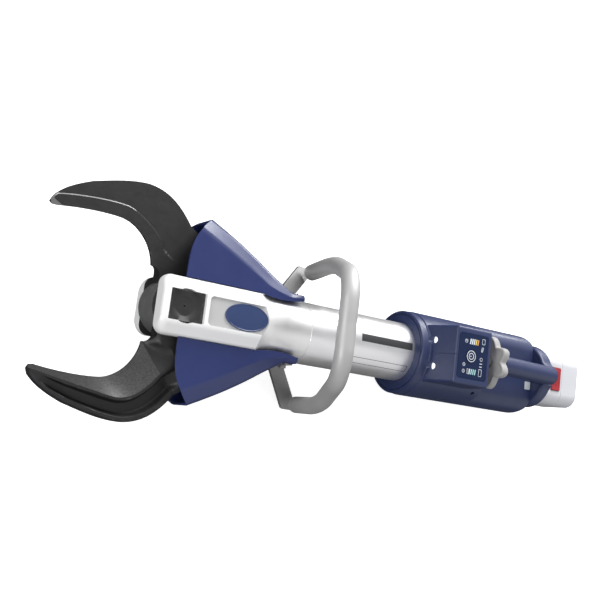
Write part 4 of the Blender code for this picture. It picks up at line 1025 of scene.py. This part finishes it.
HOUSING_LOW, HOUSING_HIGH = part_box("housing_left")
RADIUS = 0.065
INSIDE = 0.057
END_ROUND = 0.016
CONSOLE_TOP = HOUSING_HIGH.z - AXIS
CONSOLE_HALF = 0.043
PANEL_X = -0.443
PANEL_HALF = 0.029
KEY_LOW, KEY_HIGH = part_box("power_button")
KEY_X = (KEY_LOW.x + KEY_HIGH.x) / 2
KEY_RADIUS = KEY_HIGH.y
GRIP = Matrix.Translation((-0.503, 0.0, 0.081)) @ spin(-6, "Y")
LAMP_X, LAMP_Y, LAMP_Z = -0.4005, 0.0197, 0.066


def about_grip(profile, segments=FINE):
    """Turn a profile about the star grip's axis, measured from the star's middle."""
    return transformed(turned(profile, segments), GRIP)


def lamp_disc(radius, low, high, side):
    """An oval disc square to the console's sloping front."""
    outline = oval((0.0, 0.0), 0.8 * radius, radius, 40)
    lean = Matrix.Translation((LAMP_X, side * LAMP_Y, LAMP_Z)) @ spin(-72, "Y")
    return transformed(prism(outline, low, high), lean @ spin(180, "X"))


def console_block():
    """The raised block with a sloping front and rounded edges."""
    outline = [(-0.3935, 0.020), (-0.3945, 0.050), (-0.4115, CONSOLE_TOP), (-0.4785, CONSOLE_TOP)]
    outline += [(-0.4860, 0.0790), (-0.4860, 0.020)]
    sides = [[(x, y, z) for x, z in outline] for y in (-CONSOLE_HALF, CONSOLE_HALF)]
    block = raw("console", loft(sides))
    soften(block, 0.0045, 5, 20)
    return block


def housing_cuts():
    cuts = [turned(rod(-0.38, -0.4050, TUBE_RADIUS + GAP))]
    rise = degrees(asin(0.026 / INSIDE))
    cuts.append(along_x(arc((0.0, 0.0), INSIDE, 180 - rise, 360 + rise, 48), -0.4047, -0.618))
    cuts.append(box((-0.70, -0.616), (-0.034, 0.034), (-0.030, 0.024)))
    cuts.append(box((-0.482, -0.418), (-0.038, 0.038), (0.052, 0.0985)))
    cuts.append(box((-0.470, -0.460), (0.024, 0.034), (0.020, 0.060)))
    panel = rounded_rectangle(PANEL_X - PANEL_HALF, PANEL_X + PANEL_HALF, -0.034, 0.034, 0.005)
    cuts.append(prism(panel, CONSOLE_TOP - 0.0014, CONSOLE_TOP + 0.01))
    cuts.append(upright(rod(0.090, 0.11, KEY_RADIUS + 0.001), (KEY_X, 0.0), 64))
    cuts.append(about_grip(rod(0.0135, -0.0135, 0.044)))
    cuts.append(box((-0.5164, -0.4895), (-0.044, 0.044), (0.081, 0.12)))
    section = arc((0.037, 0.006), 0.027, 0, 90, 18) + arc((-0.037, 0.006), 0.027, 90, 180, 18)
    section += [(-0.08, 0.006), (-0.08, 0.12), (0.08, 0.12), (0.08, 0.006)]
    cuts.append(along_x(section, -0.70, -0.5164))
    cuts.append(about_grip(rod(0.040, -0.02, 0.0095), 40))
    for side in SIDES.values():
        cuts.append(lamp_disc(0.0052, -0.0025, 0.01, side))
    cuts.append(box((-0.70, -0.35), (-0.1, 0.1), (-0.10, HOUSING_LOW.z - AXIS)))
    lean = Vector((0.0, sin(radians(47)), cos(radians(47)))).to_track_quat("X", "Z")
    hole = Matrix.Translation((-0.5034, 0.0, 0.0)) @ lean.to_matrix().to_4x4()
    cuts.append(transformed(turned(rod(0.0590, 0.08, 0.0032), 32), hole))
    pad = arc((0.0, 0.0), RADIUS - 0.0006, 14, 30, 16) + arc((0.0, 0.0), RADIUS + 0.005, 30, 14, 16)
    return cuts + [along_x(pad, -0.464, -0.616)]


def make_housing():
    profile = [(-0.3923, 0.0628), (-0.3931, 0.0641), (-0.3946, RADIUS)]
    profile += [(HOUSING_LOW.x + END_ROUND * out, RADIUS - 0.009 * inward) for out, inward in quarter(8)]
    whole = raw("housing", turned(profile, 144))
    combine(whole, console_block(), "UNION")
    for cut in housing_cuts():
        carve(whole, cut)
    for name, side in SIDES.items():
        half = whole.copy()
        half.data = whole.data.copy()
        half.name = "housing_shell_" + name
        put(half)
        y_low, y_high = sorted((side * 0.00015, side * 0.2))
        carve(half, box((-0.8, 0.0), (y_low, y_high), (-0.2, 0.2)), "INTERSECT")
        tidy(half, 0.6)
        soften(half, 0.0008, 2, 30)
        show(half, "housing_navy", "housing_" + name, angle=30)
    bpy.data.objects.remove(whole)


def make_lamps():
    for name, side in SIDES.items():
        lens = raw("lamp_lens_" + name, lamp_disc(0.0049, -0.0022, 0.0006, side))
        soften(lens, 0.0005, 3, 40)
        show(lens, "lens_white", "work_light_" + name, angle=60)


# Control panel: a film with plain symbols ------------------------------------------------------------

SYMBOL_LOW = CONSOLE_TOP + 0.0002
SYMBOL_HEIGHT = 0.00014
LINE = 0.0006
BAR_PITCH = 0.0037


def flat_parts(name, shapes, look, low=SYMBOL_LOW):
    """Thin raised symbols in one piece; each shape is an outline or an (outer, inner) pair."""
    high = low + SYMBOL_HEIGHT
    bm = bmesh.new()
    for shape in shapes:
        if isinstance(shape, tuple):
            outer, inner = shape
            walls = ((outer, low), (outer, high), (inner, high), (inner, low))
            loft([level_loop(*wall) for wall in walls], ring=True, bm=bm)
        else:
            prism(shape, low, high, bm)
    return show(raw(name, bm), "panel_film", look=look)


def frame_outline(x, y, half_x, half_y, line=LINE):
    shapes = []
    for inset, radius in ((0.0, 0.0009), (line, 0.00054)):
        reach_x, reach_y = half_x - inset, half_y - inset
        shapes.append(rounded_rectangle(x - reach_x, x + reach_x, y - reach_y, y + reach_y, radius, 4))
    return tuple(shapes)


def ring_outline(x, y, radius, line=LINE):
    return oval((x, y), radius, radius, 40), oval((x, y), radius - line, radius - line, 40)


def bar_outline(x, y, half_x, half_y, lean=0.0):
    return [(x - half_x - lean, y - half_y), (x + half_x - lean, y - half_y),
            (x + half_x + lean, y + half_y), (x - half_x + lean, y + half_y)]


def make_panel():
    film = fill_box("panel_plate", "control_panel", 0.0047, 10)
    carve(film, upright(rod(0.09, 0.12, KEY_RADIUS + 0.0004), (KEY_X, 0.0), 64))
    soften(film, 0.00035, 2, 50)
    show(film, "panel_film", "control_panel")
    left_bars = [bar_outline(-0.4358 - BAR_PITCH * k, -0.0220, 0.0011, 0.0041, 0.0005) for k in range(5)]
    right_bars = [bar_outline(-0.4380 - BAR_PITCH * k, 0.0225, 0.0010, 0.0040, 0.0004) for k in range(4)]
    white = [ring_outline(-0.4275, -0.0218, 0.0028)]
    white += [bar_outline(-0.4273, -0.0225, 0.0003, 0.0012), bar_outline(-0.4282, -0.0216, 0.0010, 0.0003)]
    white += left_bars[:3]
    for y, half_x, half_y in ((0.0132, 0.0013, 0.0003), (0.0230, 0.0003, 0.0013)):
        white += [ring_outline(-0.4262, y, 0.0026), bar_outline(-0.4262, y, half_x, half_y)]
    white += [frame_outline(-0.4343, 0.0225, 0.0013, 0.0040, 0.0005)] + right_bars[:1]
    white += [frame_outline(-0.4616, -0.0247, 0.0030, 0.0042)]
    white += [frame_outline(-0.4590, 0.0221, 0.0030, 0.0054)]
    white += [bar_outline(-0.4590 - 0.0022 * k, -0.0128, 0.0005, 0.0036, 0.0005) for k in range(2)]
    white += [ring_outline(-0.4593, 0.0020, 0.0026)]
    white += [bar_outline(-0.4593, y, 0.0024, 0.0006) for y in (0.0085, 0.0130)]
    flat_parts("panel_symbols_white", white, "icon_white")
    flat_parts("panel_bars_teal", right_bars[1:], "icon_teal")
    flat_parts("panel_bar_yellow", left_bars[3:4], "icon_yellow")
    flat_parts("panel_bar_orange", left_bars[4:], "icon_orange")
    top = KEY_HIGH.z - AXIS
    key = [(KEY_LOW.z - AXIS, KEY_RADIUS), (top - 0.0006, KEY_RADIUS), (top - 0.0001, KEY_RADIUS - 0.0004),
           (top, KEY_RADIUS - 0.0009), (top, 0.0010)]
    button = raw("power_key", upright(key, (KEY_X, 0.0), 64))
    show(button, "panel_film", "power_button", "button_body")
    rings = [ring_outline(KEY_X, 0.0, radius, 0.0010) for radius in (0.0086, 0.0050)]
    rings += [bar_outline(KEY_X + 0.0010, 0.0, 0.0016, 0.0005)]
    mark = flat_parts("power_key_rings", rings, "icon_white", top)
    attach(mark, "button_body")


def make_rear_label():
    plate = rounded_rectangle(-0.6386, -0.6260, 0.0120, 0.0248, 0.0010, 4)
    flat_parts("rear_label_blank", [plate], "label_pale", 0.03304)


# Grip, rear handle, dock and battery ----------------------------------------------------------------

SPINDLE_HOLE = 0.0083
BAR_RADIUS = 0.0150


def star_radius(angle):
    """Six blunt tips, the two straight out to the sides being the longest, with hollows between them."""
    sideways = cos(angle) ** 2
    tip = 0.0340 + (0.0400 - 0.0340) * sideways ** 2
    hollow = 0.0250 + 0.003 * sideways
    wave = 0.5 + 0.5 * cos(6 * angle)
    return hollow + (tip - hollow) * wave ** 0.8


def make_grip():
    """The star has round edges, a slightly dished face and a raised hub."""
    half = 0.0068
    stations = [(0.88, None, 0.0105), (0.88, None, 0.0130), (0.80, 0.0085, 0.0), (0.90, 0.0055, 0.0),
                (1.0, 0.0034, 0.0), (0.96, 0.0020, 0.0), (0.84, 0.0009, 0.0), (0.66, 0.0002, 0.0),
                (0.45, 0.0, 0.0)]
    stations += [(-x, shrink, hub) for x, shrink, hub in stations[::-1]]
    loops = []
    for x, shrink, hub in stations:
        loop = []
        for angle in around(192):
            radius = hub if shrink is None else star_radius(angle) - shrink
            loop.append((x * half, radius * cos(angle), radius * sin(angle)))
        loops.append(loop)
    star = raw("grip_star", transformed(loft(loops), GRIP @ Matrix.Translation((0.0015, 0.0, 0.0))))
    carve(star, about_grip(rod(0.03, -0.03, SPINDLE_HOLE), 48))
    show(star, "grip_grey", "twist_grip", "grip_body", angle=50)


def make_rear_handle():
    profile = [(-0.0165, 0.0118), (-0.0172, 0.0132), (-0.0190, 0.0146)]
    profile += [(-0.0215 - 0.0105 * k, BAR_RADIUS) for k in range(12)]
    profile += [(-0.1450, BAR_RADIUS), (-0.1478, 0.0144), (-0.1493, 0.0132), (-0.1500, 0.0112)]
    bar = raw("rear_bar", about_grip(profile, 64))
    carve(bar, about_grip(rod(0.0, -0.0310, SPINDLE_HOLE), 40))
    show(bar, "housing_navy", "rear_handle", angle=45)


DOCK_HALF = 0.052


def dock_outline(x, inset):
    """A round collar with a raised neck on top, for the rear handle's bar."""
    half = DOCK_HALF - inset
    points = arc((0.0, -0.006), half, 180, 360, 60)
    points += arc((0.0, 0.008), half, 6, 60, 20)
    neck = curve_points([(0.0260, 0.0530), (0.0215, 0.0556), (0.0188, 0.0575), (0.0165, 0.0608)], 7)
    shrink = 1 - inset / DOCK_HALF
    side = [(p.x * shrink, p.y - inset) for p in neck]
    points += side
    points += arc((0.0, 0.051), 0.0185 - inset, 36, 144, 20)
    points += [(-y, z) for y, z in side[::-1]]
    points += arc((0.0, 0.008), half, 120, 174, 20)
    return cross_loop(points, x)


def make_dock():
    low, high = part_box("battery_dock")
    edge = ((0.0, 0.0034), (0.0008, 0.0016), (0.0024, 0.0004), (0.0045, 0.0))
    loops = [dock_outline(high.x - reach, inset) for reach, inset in edge]
    loops += [dock_outline(low.x + reach, inset) for reach, inset in edge[::-1]]
    dock = raw("battery_collar", loft(loops))
    carve(dock, box((-0.70, -0.60), (-0.036, 0.036), (-0.032, 0.026)))
    carve(dock, turned(rod(-0.60, -0.70, 0.0052), 40, (0.0350, 0.026)))
    carve(dock, about_grip(rod(-0.10, -0.20, BAR_RADIUS + GAP), 64))
    tidy(dock, 0.5)
    show(dock, "housing_navy", "battery_dock", angle=35)


def battery_section(x, inset):
    """A rounded square across the battery, drawn in by the inset."""
    half = 0.043 - inset
    return cross_loop(rounded_rectangle(-half, half, -0.046 + inset, 0.042 - inset, 0.020, 14), x)


def make_battery():
    front, back, seam = -0.664, -0.744, -0.7020
    end_round = 0.0085
    stations = [(front, 0.0026), (front - 0.0007, 0.0010), (front - 0.0024, 0.0)]
    groove = ((0.0006, 0.0), (0.0003, 0.0006), (-0.0003, 0.0006), (-0.0006, 0.0))
    stations += [(seam + reach, inset) for reach, inset in groove]
    stations += [(back + end_round * out, end_round * inward) for out, inward in quarter(8)]
    case = raw("battery_case", loft([battery_section(x, inset) for x, inset in stations]))
    carve(case, box((front - 0.01, -0.6260), (-0.0325, 0.0325), (-0.0285, 0.0225)), "UNION")
    carve(case, box((-0.6450, -0.60), (-0.022, 0.022), (-0.0085, 0.0085)))
    low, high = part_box("battery_latch")
    room = 0.001
    floor = low.z - AXIS - 0.004
    carve(case, box((low.x - room, high.x + room), (low.y - room, high.y + room), (floor, BEYOND)))
    tidy(case, 0.5)
    show(case, "battery_grey", "battery_pack", "battery_body", angle=35)
    latch = fill_box("battery_release", "battery_latch", 0.0012)
    for k in range(4):
        x = low.x + 0.0035 + 0.0037 * k
        carve(latch, box((x, x + 0.0012), (-0.012, 0.012), (high.z - AXIS - 0.0006, BEYOND)))
    soften(latch, 0.0005, 2, 40)
    show(latch, "latch_red", "battery_latch", "latch_body")


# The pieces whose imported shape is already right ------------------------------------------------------

def paint_inner_nodes():
    slots = {row["node"]: row["material_slot"] for row in frame["record"]["subparts"]}
    for name, node in frame["nodes"].items():
        if node.hide_render:
            continue
        node.data.materials.clear()
        node.data.materials.append(MATERIALS[slots[name]])
        edge = node.modifiers.new("edges", "BEVEL")
        edge.width = 0.0003
        edge.segments = 1
        edge.limit_method = "ANGLE"
        edge.angle_limit = radians(45)


# Stage ----------------------------------------------------------------------------------------------

LIT_POINT = Vector((-0.25, 0.0, 0.05))


def make_floor(level):
    bm = bmesh.new()
    reach = 9.0
    corners = [(-reach, -reach), (reach, -reach), (reach, reach), (-reach, reach)]
    bm.faces.new([bm.verts.new((x, y, level)) for x, y in corners])
    floor = raw("floor", bm, 0.0)
    look = bpy.data.materials.new("floor_pale")
    look.use_nodes = True
    tree = look.node_tree
    shader = tree.nodes["Principled BSDF"]
    tone = ramp(tree, add_noise(tree, 3.0), 0.93, 0.96)
    tree.links.new(tone, shader.inputs["Base Color"])
    for socket, value in (("Roughness", 0.9), ("Specular IOR Level", 0.0), ("Emission Strength", 0.62),
                          ("Emission Color", (1.0, 1.0, 1.0, 1.0))):
        shader.inputs[socket].default_value = value
    floor.data.materials.append(look)
    floor.visible_diffuse = False
    floor.visible_glossy = False


def add_area(name, place, size, power):
    data = bpy.data.lights.new(name, "AREA")
    data.energy = power
    data.size = size
    lamp = put(bpy.data.objects.new(name, data))
    lamp.location = place
    lamp.rotation_euler = (LIT_POINT - lamp.location).to_track_quat("-Z", "Y").to_euler()


def bands(tree, value, stops):
    """A level for each place along a direction's component, which runs from -1 to 1."""
    along = add(tree, "MapRange", {"Value": value, "From Min": -1.0, "From Max": 1.0}).outputs["Result"]
    made = add(tree, "ValToRGB", {"Fac": along})
    made.color_ramp.interpolation = "EASE"
    while len(made.color_ramp.elements) < len(stops):
        made.color_ramp.elements.new(0.5)
    for element, (place, level) in zip(made.color_ramp.elements, stops):
        element.position = place
        element.color = (level, level, level * 1.01, 1.0)
    return made.outputs["Color"]


def make_light():
    """A bright wall on the tool's right, a dimmer one on its left, grey overhead and a dark floor."""
    bpy.context.scene.view_settings.view_transform = "Standard"
    world = bpy.data.worlds.new("studio")
    world.use_nodes = True
    tree = world.node_tree
    sky = tree.nodes["Background"]
    facing = add(tree, "SeparateXYZ", {"Vector": add(tree, "TexCoord").outputs["Generated"]}).outputs
    walls = bands(tree, facing["Y"], [(0.0, 1.0), (0.28, 1.0), (0.38, 0.34),
                                      (0.52, 0.34), (0.64, 0.90), (1.0, 0.65)])
    height = bands(tree, facing["Z"], [(0.0, 0.06), (0.44, 0.15), (0.56, 1.0)])
    mix = add(tree, "Mix", {"Factor": 1.0, "A": walls, "B": height}, data_type="RGBA", blend_type="MULTIPLY")
    tree.links.new(mix.outputs["Result"], sky.inputs["Color"])
    sky.inputs["Strength"].default_value = 0.95
    bpy.context.scene.world = world
    add_area("key", (-0.8, -1.45, 0.78), 0.8, 31.0)
    add_area("edge", (-1.51, -1.28, 0.08), 0.45, 7.0)
    add_area("front", (1.35, 0.1, 0.75), 0.9, 13.0)


def make_camera():
    data = bpy.data.cameras.new("camera")
    data.lens = 56.26
    data.sensor_width = 36.0
    camera = put(bpy.data.objects.new("camera", data))
    right = Vector((-0.83487, -0.11937, 0.53735))
    down = Vector((-0.18097, 0.98146, -0.06314))
    ahead = Vector((-0.51985, -0.14996, -0.84099))
    turn = Matrix((right, -down, -ahead)).transposed().to_4x4()
    camera.matrix_world = Matrix.Translation((0.5061, 0.1559, 1.1853)) @ turn
    bpy.context.scene.camera = camera


def main():
    make_blades()
    make_fork()
    make_badge()
    make_pivot()
    make_guards()
    make_front_handle()
    make_tube()
    make_tube_labels()
    make_ring()
    make_housing()
    make_lamps()
    make_panel()
    make_rear_label()
    make_grip()
    make_rear_handle()
    make_dock()
    make_battery()
    paint_inner_nodes()
    make_floor(CAD_LOW.z - 0.0005)
    make_light()
    make_camera()


main()
